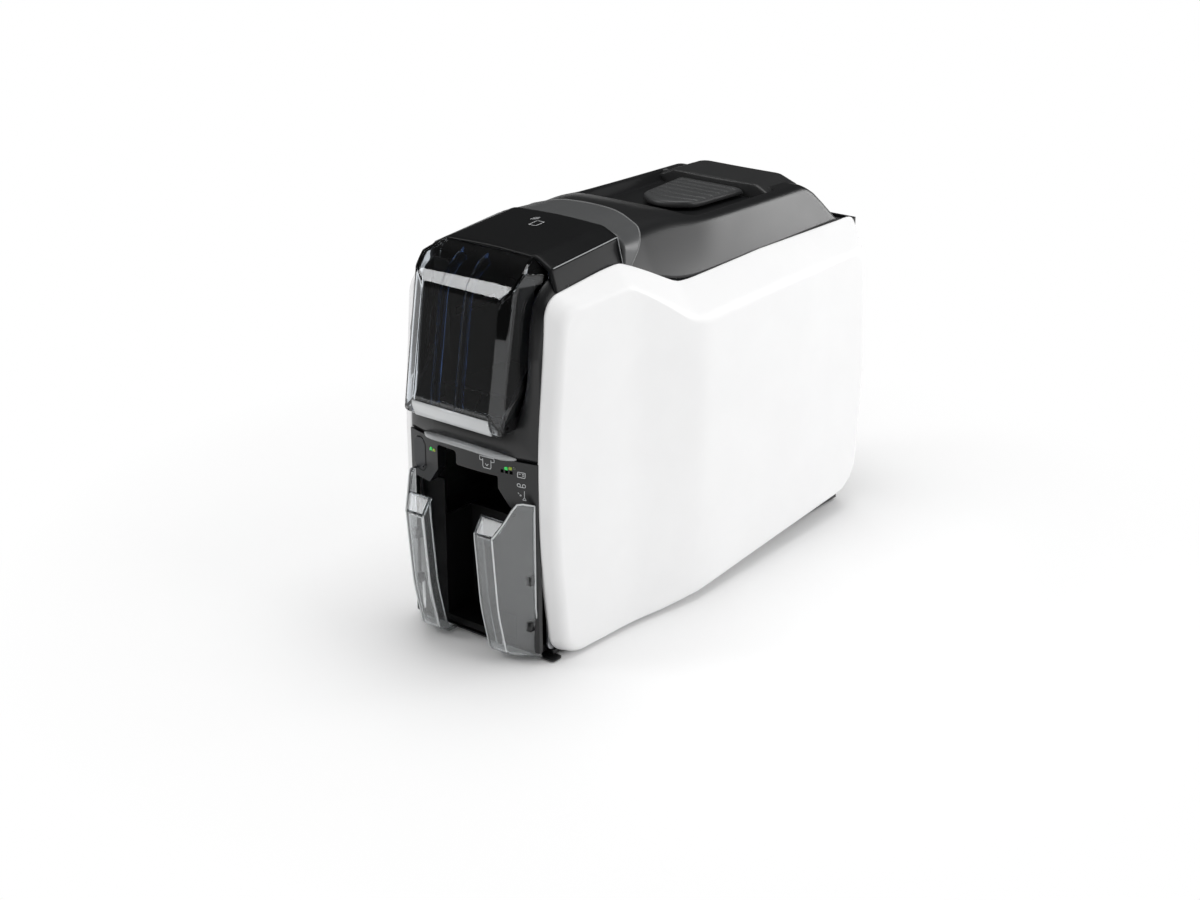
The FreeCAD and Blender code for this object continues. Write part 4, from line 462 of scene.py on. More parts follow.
def face_plan(y):
    """Half width of the face: the same kind of S, and before it an even taper towards the front."""
    return bent_plan(y, FACE_NARROW_X, FACE_X, *FACE_BEND) - FRONT_TAPER * np.maximum(FACE_BEND[0] - y, 0)


def panel_grid(rows=44):
    """Rim, bevel, soft crease and face of a panel.

    On the bevel the point moves evenly from the rim loop to the face loop as x grows. It starts where x meets
    the rim plan and ends where x meets the face plan. The face then runs to a hub, and its x is the face plan
    at each y.
    """
    rim, face = rounded_loop(RIM), rounded_loop(FACE)

    def on_bevel(plan):
        """Where the bevel meets a plan. Its share of the way is corrected six times, until it fits."""
        share = np.full(len(rim), 0.5)
        for _ in range(6):
            spot = rim + (face - rim) * share[:, None]
            share = (plan(spot[:, 0]) - RIM_X) / (FACE_X - RIM_X)
        spot = rim + (face - rim) * share[:, None]
        return on_x(spot, plan(spot[:, 0]))

    low, crease = on_bevel(rim_plan), on_bevel(face_plan)
    to_hub = np.array(HUB) - crease[:, 1:]
    step = to_hub / np.linalg.norm(to_hub, axis=1, keepdims=True)
    near = crease[:, 1:] + step * FACE_ROUND
    lip = on_x(low[:, 1:] + step * RIM_INWARD, low[:, 0] - RIM_DEEP)
    corners = np.stack([lip, low, crease, on_x(near, face_plan(near[:, 0]))], axis=1)
    edge = soften(corners, PANEL_SOFT, arc_steps=12, run_steps=5)
    share = np.linspace(0, 1, rows)[1:-1, None, None]
    flat = near + (np.array(HUB) - near) * share
    return np.concatenate([edge.transpose(1, 0, 2), on_x(flat, face_plan(flat[..., 0]))], axis=0)


panel = panel_grid()
hub_point = np.array((float(face_plan(np.array(HUB[0]))), *HUB))
for side, sign in (("right", 1), ("left", -1)):
    shell(side + "_panel", panel * (sign, 1, 1), white, side + "_side_panel", closed=True,
          pole=hub_point * (sign, 1, 1), flip=sign > 0, wall=PANEL_WALL)

# %% [markdown]
# The hood over the card hopper is black satin plastic with one crisp edge on each side. It could be cut from
# a box, but then the slope of its crown would need a second cut. A loft between three sections gives slope
# and edge at once, and the small corner reach keeps the edge crisp.

# %% Front hood
CROWN_REACH = 20.0
HOOD = [(-143.6, 53.0, 237.2, 47.4, 255.0, 35.8, 261.4, 0, 262.8),
        (-143.2, 53.0, 237.2, 47.4, 255.4, 35.8, 261.9, 0, 263.3),
        (-77.5, 53.0, 237.2, 47.4, 260.9, 35.8, 266.2, 0, 267.6)]
HOOD_SOFT, HOOD_WALL = (1.6, 3.0), 2.4


def section_grid(stations, rows, reach, arc_steps=8, run_steps=8):
    """Arch sections along y. stations has (y, then x and z of each corner from the right foot to the crown).

    Between stations every number changes evenly. The left half mirrors the right one, and reach rounds the
    corners.
    """
    table = np.array(stations, dtype=float)
    y = np.linspace(table[0, 0], table[-1, 0], rows)
    values = np.stack([np.interp(y, table[:, 0], column) for column in table[:, 1:].T], axis=1)
    half = values.reshape(rows, -1, 2)
    both = np.concatenate([half, half[:, :-1][:, ::-1] * (-1, 1)], axis=1)
    path = soften(both, np.array([*reach, CROWN_REACH, *reach[::-1]]), arc_steps, run_steps)
    return np.stack([path[..., 0], np.broadcast_to(y[:, None], path.shape[:2]), path[..., 1]], axis=-1)


hood_black = plastic("hood_black", (0.0072, 0.0075, 0.008), 0.32, variation=0.06)
tune(hood_black, Specular_IOR_Level=0.18)
shell("hood", section_grid(HOOD, 30, HOOD_SOFT), hood_black, "front_hood", flip=True, wall=HOOD_WALL)

# %% [markdown]
# The hinged cover is one large moulding, and its top has a sunken area for the latch pad. The sections change
# along the length: narrow and high at the front, wide and low at the rear. Averaging the stations over a
# short window makes the flow even. The well could be cut out with a boolean, but its round edges would have
# to be added. Here it is a second height, and a soft minimum of the two heights rounds the edge by itself.

# %% Top cover
STATIONS = [(-78.0, 52, 242.8, 44.8, 257.7, 34, 262.4, 0, 263.6),
            (-51.9, 56.6, 231, 44.8, 259.4, 30, 265.2, 0, 266.0),
            (-23.3, 60.8, 222.4, 46.5, 261.2, 30, 265.0, 0, 266.0),
            (2.3, 60.8, 221.9, 53, 256.8, 40, 257.3, 0, 257.7),
            (52.0, 60.8, 221.9, 53, 255.3, 40, 255.8, 0, 256.1),
            (117.0, 60.8, 221.9, 53, 253.7, 40, 254.2, 0, 254.6),
            (171.0, 60.8, 221.9, 53, 252.6, 40, 253.1, 0, 253.5)]
WINDOWS, WINDOW_FROM, WINDOW_LENGTH = (9, 27), -52.0, 20.0
WELL_FLOOR, WELL_HALF, WELL_FRONT, WELL_REAR = 247.4, 43.0, 7.1, 97.8
SIDE_SLOPE, FRONT_SLOPE, REAR_SLOPE, WELL_SOFT = 1.75, 1.2, 2.3, 2.2
REAR_LINE = [(112.0, 261.0), (127.0, 253.2), (139.0, 244.5), (147.0, 237.0), (155.0, 229.0), (160.0, 224.0),
             (165.0, 221.4), (172.0, 220.2)]
REAR_FROM, NO_LIMIT, REAR_SOFT = 110.0, 300.0, 4.0
SEAM_Z, SEAM_REAR_Z, SEAM_STEP = 221.6, 219.8, 150.0
ARCH_PLANE, ARCH_FOOT, ARCH_LEAN = -72.0, 241.2, 1.0136
TUCK_NARROW, TUCK_DOWN, TUCK_OVER = 0.05, 3.0, 3.0
COVER_SOFT, COVER_WALL = (6.5, 9.0), 2.2


def averaged(stations):
    """Stations every millimetre, each number averaged twice over a window.

    The window is short in front of WINDOW_FROM and long behind, and the two results are blended between.
    """
    table = np.array(stations, dtype=float)
    y = np.arange(table[0, 0], table[-1, 0] + 1.0, 1.0)
    behind = np.clip((y - WINDOW_FROM) / WINDOW_LENGTH, 0, 1)
    rows = [y]
    for column in table[:, 1:].T:
        both = []
        for window in WINDOWS:
            line, kernel = np.interp(y, table[:, 0], column), np.ones(window) / window
            for _ in range(2):
                line = np.convolve(np.pad(line, window // 2, mode="edge"), kernel, mode="valid")
            both.append(line)
        rows.append(both[0] * (1 - behind) + both[1] * behind)
    return np.stack(rows, axis=1)


def arch_y(z):
    """Rear edge of the arch band: a plane that leans back as it rises."""
    return ARCH_PLANE + (z - ARCH_FOOT) * ARCH_LEAN


def well_height(x, y):
    """Floor of the sunken area, rising outside a rectangle by a slope for each side."""
    side = np.maximum(np.abs(x) - WELL_HALF, 0) * SIDE_SLOPE
    front = np.maximum(WELL_FRONT - y, 0) * FRONT_SLOPE
    rear = np.maximum(y - WELL_REAR, 0) * REAR_SLOPE
    return WELL_FLOOR + np.hypot(side, front + rear)


def cover_grid(rows=300):
    """Lofted sections, limited by three more heights.

    The lowest of section, rear line and well wins, softly. Nothing falls below the seam. Under the arch the
    sections are tucked in, narrower and lower, so that the band lies outside them.
    """
    sections = section_grid(averaged(STATIONS), rows, COVER_SOFT, arc_steps=12, run_steps=14)
    x, y, z = np.moveaxis(sections, -1, 0)
    rear = np.where(y > REAR_FROM, np.interp(y, *np.array(REAR_LINE).T), NO_LIMIT)
    z = smooth_min(smooth_min(z, rear, REAR_SOFT), well_height(x, y), WELL_SOFT)
    z = np.maximum(z, np.where(y > SEAM_STEP, SEAM_REAR_Z, SEAM_Z))
    tuck = np.clip((arch_y(z) - 1.0 - y) / TUCK_OVER, 0, 1)
    return np.stack([x * (1 - TUCK_NARROW * tuck), y, z - TUCK_DOWN * tuck], axis=-1)


shell("cover", cover_grid(), cover_black, "top_cover", "cover", flip=True, wall=COVER_WALL)

# %% [markdown]
# A satin grey arch covers the step between hood and cover. It is a separate moulding on the real printer, so
# it has its own round sections, a little outside the cover. Its rear edge leans back, which makes it wide on
# top and narrow at the sides. A loft from the front edge to that leaning edge does both.

# %% Arch band
ARCH_FRONT = [(53.9, 240.8), (53.3, 256.5), (46.6, 262.2), (26.4, 266.0), (0.0, 266.8)]
ARCH_REAR = [(53.6, 240.8), (52.0, 253.0), (45.4, 261.0), (24.0, 267.0), (0.0, 268.0)]
ARCH_SOFT = np.array([8.0, 7.0, 9.0, 16.0, 9.0, 7.0, 8.0])
ARCH_FRONT_Y, ARCH_HALF, ARCH_LIP_FROM = -77.8, 54.0, 245.0


def arch_grid(rows=24):
    """Sections that change evenly from the front edge to the rear edge.

    The rear edge is a leaning plane, so y there grows with height. The first and the last rows turn inwards,
    which gives the band a round lip.
    """
    def section(corners):
        """One round section: the right half, then its mirror image, with soft corners."""
        half = np.array(corners)
        return soften(np.concatenate([half, half[:-1][::-1] * (-1, 1)]), ARCH_SOFT, 10, 8)

    front, rear = section(ARCH_FRONT), section(ARCH_REAR)
    share = np.concatenate([[0.0, 0.0, 0.02], np.linspace(0.05, 0.95, rows), [0.985, 1.0, 1.0]])[:, None]
    inward = np.concatenate([[2.2, 0.5, 0.1], np.zeros(rows), [0.25, 1.0, 2.6]])[:, None]
    x = front[:, 0] + (rear[:, 0] - front[:, 0]) * share
    z = front[:, 1] + (rear[:, 1] - front[:, 1]) * share
    y = ARCH_FRONT_Y + (arch_y(rear[:, 1]) - ARCH_FRONT_Y) * share
    return np.stack([x * (1 - inward / ARCH_HALF), y, z - inward * (z > ARCH_LIP_FROM)], axis=-1)


arch = arch_grid()
shell("arch", arch, satin, "cover_band", "cover", flip=True)

# %% [markdown]
# The edges of hood and arch are slightly rounded, and each catches a thin bright line of light. At this size
# the round is thinner than a pixel, so the light would be lost or would flicker. A slim round bead in a paler
# plastic lies along each edge and shows the line from every side: its pale colour is a painted highlight.

# %% Bright edges
ARCH_BEAD, HOOD_BEAD, BEAD_INSET = 0.7, 0.35, (0.997, 1, 1)
HOOD_EDGE = np.array([(47.5, -141.0, 255.6), (47.5, -78.0, 260.8), (52.8, -78.0, 241.0)])


def tube(path, radius, around=10):
    """Round bar along a 3D path: around each point a circle in the plane across the path's direction.

    The circle's two axes come from cross products, first with the axis that the path follows least.
    """
    along = np.gradient(path, axis=0)
    along /= np.linalg.norm(along, axis=1, keepdims=True)
    least = np.eye(3)[np.argmin(np.abs(along).max(axis=0))]
    first = np.cross(along, least)
    first /= np.linalg.norm(first, axis=1, keepdims=True)
    second = np.cross(along, first)
    angle = np.linspace(0, 2 * np.pi, around + 1)[:-1, None]
    return path[:, None] + radius * (np.cos(angle) * first[:, None] + np.sin(angle) * second[:, None])


def bead(name, path, radius, material, rides="printer"):
    """Thin round bar with closed ends."""
    closed_bar(name, tube(path, radius), material, rides=rides)


# Both bead plastics are paler than the shells they sit on, and that paleness is a painted highlight.
painted_edge_highlight = plastic("painted_edge_highlight", (0.32, 0.33, 0.335), 0.35, variation=0.04)
painted_arch_highlight = plastic("painted_arch_highlight", (0.14, 0.142, 0.143), 0.35, variation=0.04)
bead("arch_edge", arch[-3] * BEAD_INSET, ARCH_BEAD, painted_arch_highlight, "cover")
for side, sign in (("right", 1), ("left", -1)):
    bead("hood_edge_" + side, resampled(HOOD_EDGE * (sign, 1, 1), 60), HOOD_BEAD, painted_edge_highlight)

# %% [markdown]
# Behind the well a raised cap fills the rear of the cover. It is a rounded block with sloping sides. A scaled
# cube would slope alike on all sides, so it is made from two matching loops: the foot and the top.

# %% Rear cap
CAP_FOOT = [(-47, 93.0, 3), (47, 93.0, 3), (45, 138, 7), (-45, 138, 7)]
CAP_TOP = [(-35.5, 94.2, 3), (35.5, 94.2, 3), (34.5, 131, 6), (-34.5, 131, 6)]
CAP_SKIRT, CAP_LOW, CAP_RISE, CAP_REAR, CAP_HEIGHT = 245.0, 247.0, 5.0, 249.5, 257.0
CAP_CROWN, CAP_SOFT = (0.3, 0.4), 2.0


def mound(foot, top, z_foot, z_top, reach, rows=8):
    """Sloping block from two loops of (x, y) points, with a soft upper edge, closed by a centre point.

    Its side runs from a skirt below the cover straight up to the foot, and on to the top loop. The top is
    crowned by a few tenths of a millimetre.
    """
    middle = top.mean(axis=0)
    near = top + (middle - top) * 0.35
    levels = [(foot, CAP_SKIRT), (foot, z_foot), (top, z_top), (near, z_top + CAP_CROWN[0])]
    corners = np.stack([np.column_stack([loop, np.broadcast_to(z, len(loop))]) for loop, z in levels], axis=1)
    edge = soften(corners, reach, arc_steps=10, run_steps=4).transpose(1, 0, 2)
    tip = np.append(middle, z_top + CAP_CROWN[1])
    share = np.linspace(0, 1, rows)[1:-1, None, None]
    return np.concatenate([edge, edge[-1] + (tip - edge[-1]) * share]), tip


cap_satin = plastic("cap_satin", (0.022, 0.0225, 0.023), 0.38)
cap_foot, cap_top = rounded_loop(CAP_FOOT), rounded_loop(CAP_TOP)
up_the_side = np.clip((np.abs(cap_foot[:, 0]) - 40) / 5, 0, 1)
cap_low = np.where(cap_foot[:, 1] > 125, CAP_REAR, CAP_LOW + CAP_RISE * up_the_side)
cap_grid, cap_tip = mound(cap_foot, cap_top, cap_low, CAP_HEIGHT, CAP_SOFT)
shell("cap", cap_grid, cap_satin, "rear_cap", "cover", closed=True, pole=cap_tip)

# %% [markdown]
# The latch pad lies in the well. Six shallow grooves give the thumb a grip. They could be cut one by one, but
# as narrow bell curves taken off the height they stay soft and follow the pad's own grid.

# %% Latch pad
PAD_MIDDLE, PAD_REACH, PAD_HALF, PAD_SPREAD, PAD_BOW = 64.4, 27.4, 24.5, 2.6, 7.0
PAD_BASE, PAD_HEIGHT, PAD_WALL = 249.8, 4.4, 1.6
GROOVES, GROOVE_WIDTH, GROOVE_DEPTH = np.linspace(45.5, 84.0, 6), 0.75, 1.5


def pad_grid(rows=170, columns=60):
    """Pad with u across and v along, both from -1 to 1.

    The half width grows towards the rear and shrinks at the front corners, and the front end bows forwards.
    At the edges the height falls with the square root of one minus a high power of u or v. Each groove is a
    bell curve along y, and it ends before the pad's side.
    """
    v, u = np.meshgrid(np.linspace(-1, 1, rows), np.linspace(-1, 1, columns), indexing="ij")
    y = PAD_MIDDLE + PAD_REACH * v
    half = (PAD_HALF + PAD_SPREAD * v) * (1 - 0.22 * np.maximum(-v, 0) ** 8)
    bow = PAD_BOW * (1 - u ** 2) * np.maximum(-v, 0)
    dome = np.sqrt(1 - np.minimum(np.abs(u), 1) ** 16) * np.sqrt(1 - np.abs(v) ** 24)
    groove = sum(np.exp(-((y - at) / GROOVE_WIDTH) ** 2) for at in GROOVES)
    z = PAD_BASE + PAD_HEIGHT * dome - GROOVE_DEPTH * groove * np.clip((0.93 - np.abs(u)) * 12, 0, 1)
    return np.stack([u * half, y - bow, z], axis=-1)


pad_satin = plastic("pad_satin", (0.048, 0.049, 0.050), 0.40)
shell("latch_pad", pad_grid(), pad_satin, "latch_button", "latch", wall=PAD_WALL)

# %% [markdown]
# The hopper door is one clear moulding: a flat front that leans back, a narrow shoulder on each side, and
# side walls that run to the rear. It could be a bent plane, but its width changes all the way round. So its
# half width is a function of the depth behind the leaning front, and near the casing it shrinks to fit the
# opening. Two thin fins inside stiffen it, and a frosted ledge low on the front is its finger grip.

# %% Clear door
DOOR_PROFILE = [(-162.8, 159.5), (-180.1, 154.9), (-184.8, 166.2), (-171.9, 243.0), (-157.5, 257.6),
                (-140.4, 262.0)]
DOOR_BACK = [(-162.8, 159.5), (-140.4, 251.9)]
DOOR_SOFT, DOOR_WALL = np.array([4.0, 6.0, 16.0, 11.0]), 2.0
DOOR_WIDTHS = soften([(0.0, 30.5), (3.2, 40.0), (27.5, 44.75)], 1.8)
LEAN = np.array([13.7, 81.7]) / 82.84
OPENING_FOOT, OPENING_WIDEN, OPENING_BEND, OPENING_DROP = 26.0, 18.9, 204.0, 49.4
DOOR_GAP, FIT_FROM, FIT_OVER = 0.6, 3.0, 14.0
TOP_HALF, TOP_NARROW, TOP_FROM = 45.5, 11.5, 250.5
FIN_PLACES, FIN_HALF, FIN_FROM, FIN_TO = (("left", -16.5), ("right", 3.0)), 0.6, 1.7, 9.5
GRIP = np.array([(-181.7, 156.7), (-183.1, 160.0), (-184.6, 164.0), (-184.9, 167.0)])
GRIP_HALF, GRIP_FRONT, GRIP_BACK, SLAB_SOFT = 31.0, (-0.25, 0.0), (1.2, 0.0), 0.3


def door_depth(spot):
    """Distance behind the leaning front line."""
    return (spot[..., 0] - DOOR_PROFILE[2][0]) * LEAN[1] - (spot[..., 1] - DOOR_PROFILE[2][1]) * LEAN[0]


def opening_half(z):
    """Half width of the opening behind the door: straight above, nearly a quarter ellipse at its corners."""
    fall = np.clip(OPENING_BEND - z, 0.0, OPENING_DROP) / (OPENING_DROP + 0.4)
    return OPENING_FOOT + OPENING_WIDEN * np.sqrt(1 - fall ** 2)


def door_half(spot):
    """Half width at a (y, z) place: wider with depth, but limited by the opening and by the round top."""
    depth = door_depth(spot)
    half = np.interp(depth, DOOR_WIDTHS[:, 0], DOOR_WIDTHS[:, 1])
    excess = np.maximum(half - (opening_half(spot[..., 1]) - DOOR_GAP), 0)
    half = half - excess * np.clip((depth - FIT_FROM) / FIT_OVER, 0, 1)
    into_top = np.clip((spot[..., 1] - TOP_FROM) / TOP_NARROW, 0, 1)
    return np.minimum(half, TOP_HALF - TOP_NARROW * into_top ** 1.3)


def door_grid(rows=150, side_columns=26, front_columns=24):
    """Side wall, front strip and other side wall, row by row along the profile.

    A side point moves evenly from the profile to the back edge, and takes its x from its own depth.
    """
    front = resampled(soften(DOOR_PROFILE, DOOR_SOFT, 14), rows)
    back = resampled(np.array(DOOR_BACK), rows)
    share = (np.linspace(1, 0, side_columns) ** 1.6)[:, None]
    wall = front[:, None] + (back - front)[:, None] * share
    half = door_half(wall)
    span = np.linspace(-1, 1, front_columns)[1:-1]
    strip = on_x(np.repeat(front[:, None], len(span), axis=1), door_half(front)[:, None] * span)
    return np.concatenate([on_x(wall, -half), strip, on_x(wall, half)[:, ::-1]], axis=1)


def slab_grid(front, back, x0, x1, reach=0.5):
    """Closed box section swept between two curves with matching points, its corners cut by reach."""
    deep = np.linalg.norm(back - front, axis=1)[:, None]
    wide = np.full_like(deep, abs(x1 - x0))
    a, b = np.minimum(reach / deep, 0.45), np.minimum(reach / wide, 0.45)
    one, nil = np.ones_like(a), np.zeros_like(a)
    depth = np.concatenate([a, one - a, one, one, one - a, a, nil, nil], axis=1)[..., None]
    width = np.concatenate([nil, nil, b, one - b, one, one, one - b, b], axis=1)
    return on_x(front[:, None] + (back - front)[:, None] * depth, x0 + (x1 - x0) * width)


shell("door", door_grid(), clear, "input_door", "door", wall=DOOR_WALL)
fin_blue = clear_plastic("fin_blue", (0.11, 0.21, 0.48), 0.06)
profile = resampled(soften(DOOR_PROFILE[1:], DOOR_SOFT[1:], 14), 90)[6:84]
direction = np.gradient(profile, axis=0)
normal = np.stack([direction[:, 1], -direction[:, 0]], axis=1)
normal /= np.linalg.norm(normal, axis=1, keepdims=True)
for side, x in FIN_PLACES:
    near, far = profile + normal * FIN_FROM, profile + normal * FIN_TO
    fin = slab_grid(near, far, x - FIN_HALF, x + FIN_HALF, SLAB_SOFT)
    closed_bar("door_fin_" + side, fin, fin_blue, rides="door", flip=True)
ledge = slab_grid(GRIP + GRIP_FRONT, GRIP + GRIP_BACK, -GRIP_HALF, GRIP_HALF, SLAB_SOFT)
closed_bar("door_ledge", ledge, frosted_and_painted_highlight, rides="door", flip=True)

# %% [markdown]
# Two dark arms frame the door and curve over its top. Below it a bar with a bowed front joins them. They are
# one moulding, shaped like a U. Separate arms would leave a seam at the lower corners, so one box section is
# swept from the middle of the bar to each arm's rear end.

# %% Front bezel
FASCIA_Y, FASCIA_RADIUS = -171.0, 199.6
ARM_INNER = [(-131.0, 253.2), (-146.0, 250.2), (-157.6, 240.6), (-161.2, 226.0), (-163.6, 204.0)]
ARM_OUTER = [(-131.0, 242.3), (-144.6, 239.3), (-154.4, 231.6), (-159.6, 214.0), (-161.9, 204.0)]
ARM_SOFT, ARM_ROWS, ARM_IN_X, ARM_OUT_X = np.array([9.0, 8.0, 8.0]), 70, 44.9, 52.4
BAR_TOP, BAR_FOOT, BAR_FOOT_HALF, BEZEL_DEEP = 154.4, 137.9, 28.4, 9.0
CORNER_SET_BACK, CORNER_FALL, CORNER_TURN = 2.0, 1.35, 0.74


def fascia_y(x):
    """Bowed front line: an arc about 7 mm high over the width of the face."""
    return FASCIA_Y + FASCIA_RADIUS - np.sqrt(FASCIA_RADIUS ** 2 - np.asarray(x, dtype=float) ** 2)


def bezel_grid():
    """One U-shaped moulding: two arms, two round corners and the bowed bar, swept with a box section.

    Both edges are listed from the rear end of the right arm to the middle of the bar, then mirrored. The
    inner edge follows the opening. The outer edge runs down beside the panel, then along the bar's foot.
    """
    inner = on_x(resampled(soften(ARM_INNER, ARM_SOFT, 12), ARM_ROWS), ARM_IN_X)
    outer = on_x(resampled(soften(ARM_OUTER, ARM_SOFT, 12), ARM_ROWS), ARM_OUT_X)
    turn = np.linspace(0, 1, 40)[1:, None]
    low = OPENING_BEND - OPENING_DROP * np.sin(turn * np.pi / 2)
    side = opening_half(low)
    to_arm = ARM_INNER[-1][0] - fascia_y(ARM_IN_X)
    corner = np.hstack([side, fascia_y(side) + to_arm * (1 - turn), low])
    fall = np.minimum(turn * CORNER_FALL, 1)
    away = np.clip((turn - CORNER_TURN) / (1 - CORNER_TURN), 0, 1)
    rim_x = ARM_OUT_X - (ARM_OUT_X - BAR_FOOT_HALF) * away
    rim_z = OPENING_BEND - (OPENING_BEND - BAR_FOOT) * fall
    rim = np.hstack([rim_x, fascia_y(rim_x) + CORNER_SET_BACK * (1 - fall), rim_z])
    across = np.linspace(1, 0, 24)[1:, None]
    upper_x, lower_x = side[-1] * across, BAR_FOOT_HALF * across
    inner = np.vstack([inner, corner, np.hstack([upper_x, fascia_y(upper_x), BAR_TOP + 0 * across])])
    outer = np.vstack([outer, rim, np.hstack([lower_x, fascia_y(lower_x), BAR_FOOT + 0 * across])])
    along = np.gradient(inner[:, 1:], axis=0)
    along /= np.maximum(np.linalg.norm(along, axis=1, keepdims=True), 1e-9)
    on_arm = np.arange(len(inner))[:, None] < ARM_ROWS
    deep = np.where(on_arm, np.stack([-along[:, 1], along[:, 0]], 1), (1.0, 0.0))
    across_share = np.array([0, 0, 0.16, 0.84, 1, 1, 1, 0])[None, :, None]
    depth_share = np.array([0.5, 0.14, 0, 0, 0.14, 0.5, 1, 1])[None, :, None]
    half = inner[:, None] + (outer - inner)[:, None] * across_share
    half = half + on_x(deep * BEZEL_DEEP, 0.0)[:, None] * depth_share
    return np.concatenate([half, half[:-1][::-1] * (-1, 1, 1)])


closed_bar("bezel", bezel_grid(), dark, node="front_bezel", flip=True)

# %% [markdown]
# A clear lip closes the gap between bezel and lower fascia. It is a solid bar of clear plastic, a little
# bowed, that carries light from the lamps behind it. A cube with a bend modifier would keep its ends square,
# so a closed section is moved along x and shrinks at both ends.

# %% Clear lip
LIP_HALF, LIP_Z, LIP_RISE, LIP_END = 38.0, 138.3, 2.6, 0.6
LIP_OUT = np.array([1.0, -1.6, -4.4, -5.0, -5.0, -4.4, -1.6, 1.0])
LIP_UP = np.array([1.4, 1.8, 1.9, 1.2, -0.9, -1.6, -1.8, -1.6])


def lip_grid(columns=60):
    """Section of eight points. It rises in the middle as a parabola, and both ends taper to the fascia."""
    x = np.linspace(-LIP_HALF, LIP_HALF, columns)[:, None]
    taper = np.clip(1.02 - (np.abs(x) / LIP_HALF) ** 7, 0, 1)
    out = LIP_OUT * taper + LIP_END * (1 - taper)
    z = LIP_Z + LIP_RISE * (1 - (x / LIP_HALF) ** 2) + LIP_UP * (0.35 + 0.65 * taper)
    return np.stack([np.broadcast_to(x, z.shape), fascia_y(x) + out, z], axis=-1)


closed_bar("lip", lip_grid(), clear_lip, node="feed_lip")

# %% [markdown]
# Two clear wings hold the printed cards. Each is a bent sheet: a small flange inside, a narrow front, and a
# side wall that runs back to the face. The front line leans, then curves under at the bottom. One grid holds
# the whole sheet, so the bends stay smooth. The real sheet's cut edges glow, because light that enters the
# plastic leaves there. Slim frosted beads lie along them, and their pale colour is a painted highlight of
# that glow. Two dark clips hold each wing.

# %% Card wings
FLANGE_X, FRONT_X, WING_DEEP, WING_FOOT, WING_WALL = 21.0, 35.6, 24.0, 2.8, 2.0
WING_PLAN = soften([(FLANGE_X, 8.0), (FLANGE_X, 0.0), (FRONT_X, 0.0), (50.6, WING_DEEP)], 2.0, 8, 6)
WING_FRONT = soften([(2.6, -168.0), (7.0, -176.6), (40.0, -184.4), (91.9, -189.2), (112.0, -189.2)],
                    np.array([6.0, 9.0, 8.0]))
WING_TOP = np.array([(-190.0, 91.4), (-189.0, 91.4), (-182.0, 101.0), (-175.5, 112.6), (-172.0, 112.6),
                     (-164.0, 109.6), (-150.0, 109.6)])
ROOT_Y, ROOT_LEAN, ROOT_BEND, TOP_GUESS = -165.0, 0.14, 40.0, 92.0
WEB_Y, WEB_X, WEB_LEAN, WEB_WALL = (-188.9, -181.2), (21.2, 36.2), 0.6, 1.8
SOLE_Y, SOLE_DROP, SOLE_ROWS, WING_BEAD = -160.5, -0.4, 8, 0.55
TAB_X, TAB_Y, TAB_HALF = (44.5, 49.0), (-168.5, -163.0), 3.0
TAB_HEIGHTS = {"right": (("upper", 59.0), ("lower", 27.0)), "left": (("upper", 66.0), ("lower", 34.0))}


def wing_grid(rows=70):
    """Plan path of four corners, its y pushed forwards by the front line at each height.

    The side wall's y is shared out between the front line and the root line by its place in the plan. The
    upper end of each column comes from the top line at the column's own y, found by repeated averaging.
    """
    near = 1 - WING_PLAN[:, 1] / WING_DEEP

    def place(z):
        """The sheet's y at a height: front line plus plan in front, a share of the front line on the side."""
        lead = np.interp(z, WING_FRONT[:, 0], WING_FRONT[:, 1])
        root = ROOT_Y + ROOT_LEAN * np.maximum(ROOT_BEND - z, 0)
        return np.where(WING_PLAN[:, 0] < 30, lead + WING_PLAN[:, 1], root + (lead - root) * near)

    top = np.full(len(WING_PLAN), TOP_GUESS)
    for _ in range(12):
        top = 0.5 * top + 0.5 * np.interp(place(top), *WING_TOP.T)
    z = WING_FOOT + (top - WING_FOOT) * np.linspace(0, 1, rows)[:, None]
    return np.stack([np.broadcast_to(WING_PLAN[:, 0], z.shape), place(z), z], axis=-1)


def web_grid(rows=8, columns=12):
    """Sloping top between flange and side wall. Its z follows the top line at each y."""
    y = np.linspace(*WEB_Y, rows)[:, None]
    far = WEB_X[1] + (y - WEB_Y[0]) * WEB_LEAN
    x = WEB_X[0] + (far - WEB_X[0]) * np.linspace(0, 1, columns)
    return np.stack([x, y + 0 * x, np.interp(y, *WING_TOP.T) + 0 * x], axis=-1)


wing = wing_grid()
sole_end = wing[:1] * (1, 0, 1) + np.array([0, SOLE_Y, SOLE_DROP])
sole = wing[:1] + (sole_end - wing[:1]) * np.linspace(1, 0, SOLE_ROWS)[:-1, None, None]
wing = np.concatenate([sole, wing])
level = wing[60]
inner_edge, outer_edge = [np.argmin(np.hypot(level[:, 0] - x, level[:, 1] - level[:, 1].min()))
                          for x in (FLANGE_X, FRONT_X)]
edges = (("inner", wing[12:, inner_edge]), ("outer", wing[12:, outer_edge]), ("top", wing[-1, outer_edge:]),
         ("root", wing[14:, -1] * BEAD_INSET))
for side, sign in (("right", 1), ("left", -1)):
    for edge, path in edges:
        # Edge beads: their pale frosted colour is a painted highlight of the glowing cut edges.
        bead("wing_%s_%s" % (edge, side), path * (sign, 1, 1), WING_BEAD, frosted_and_painted_highlight)
    shell("wing_" + side, wing * (sign, 1, 1), clear_wing, side + "_wing", flip=sign < 0, wall=WING_WALL)
    shell("wing_web_" + side, web_grid() * (sign, 1, 1), clear, flip=sign < 0, wall=WEB_WALL)
    for place, z in TAB_HEIGHTS[side]:
        front, back = [np.array([(y, z - TAB_HALF), (y, z + TAB_HALF)]) for y in TAB_Y]
        tab = slab_grid(front, back, TAB_X[0] * sign, TAB_X[1] * sign)
        closed_bar("tab_" + place + "_" + side, tab, dark, flip=sign > 0)
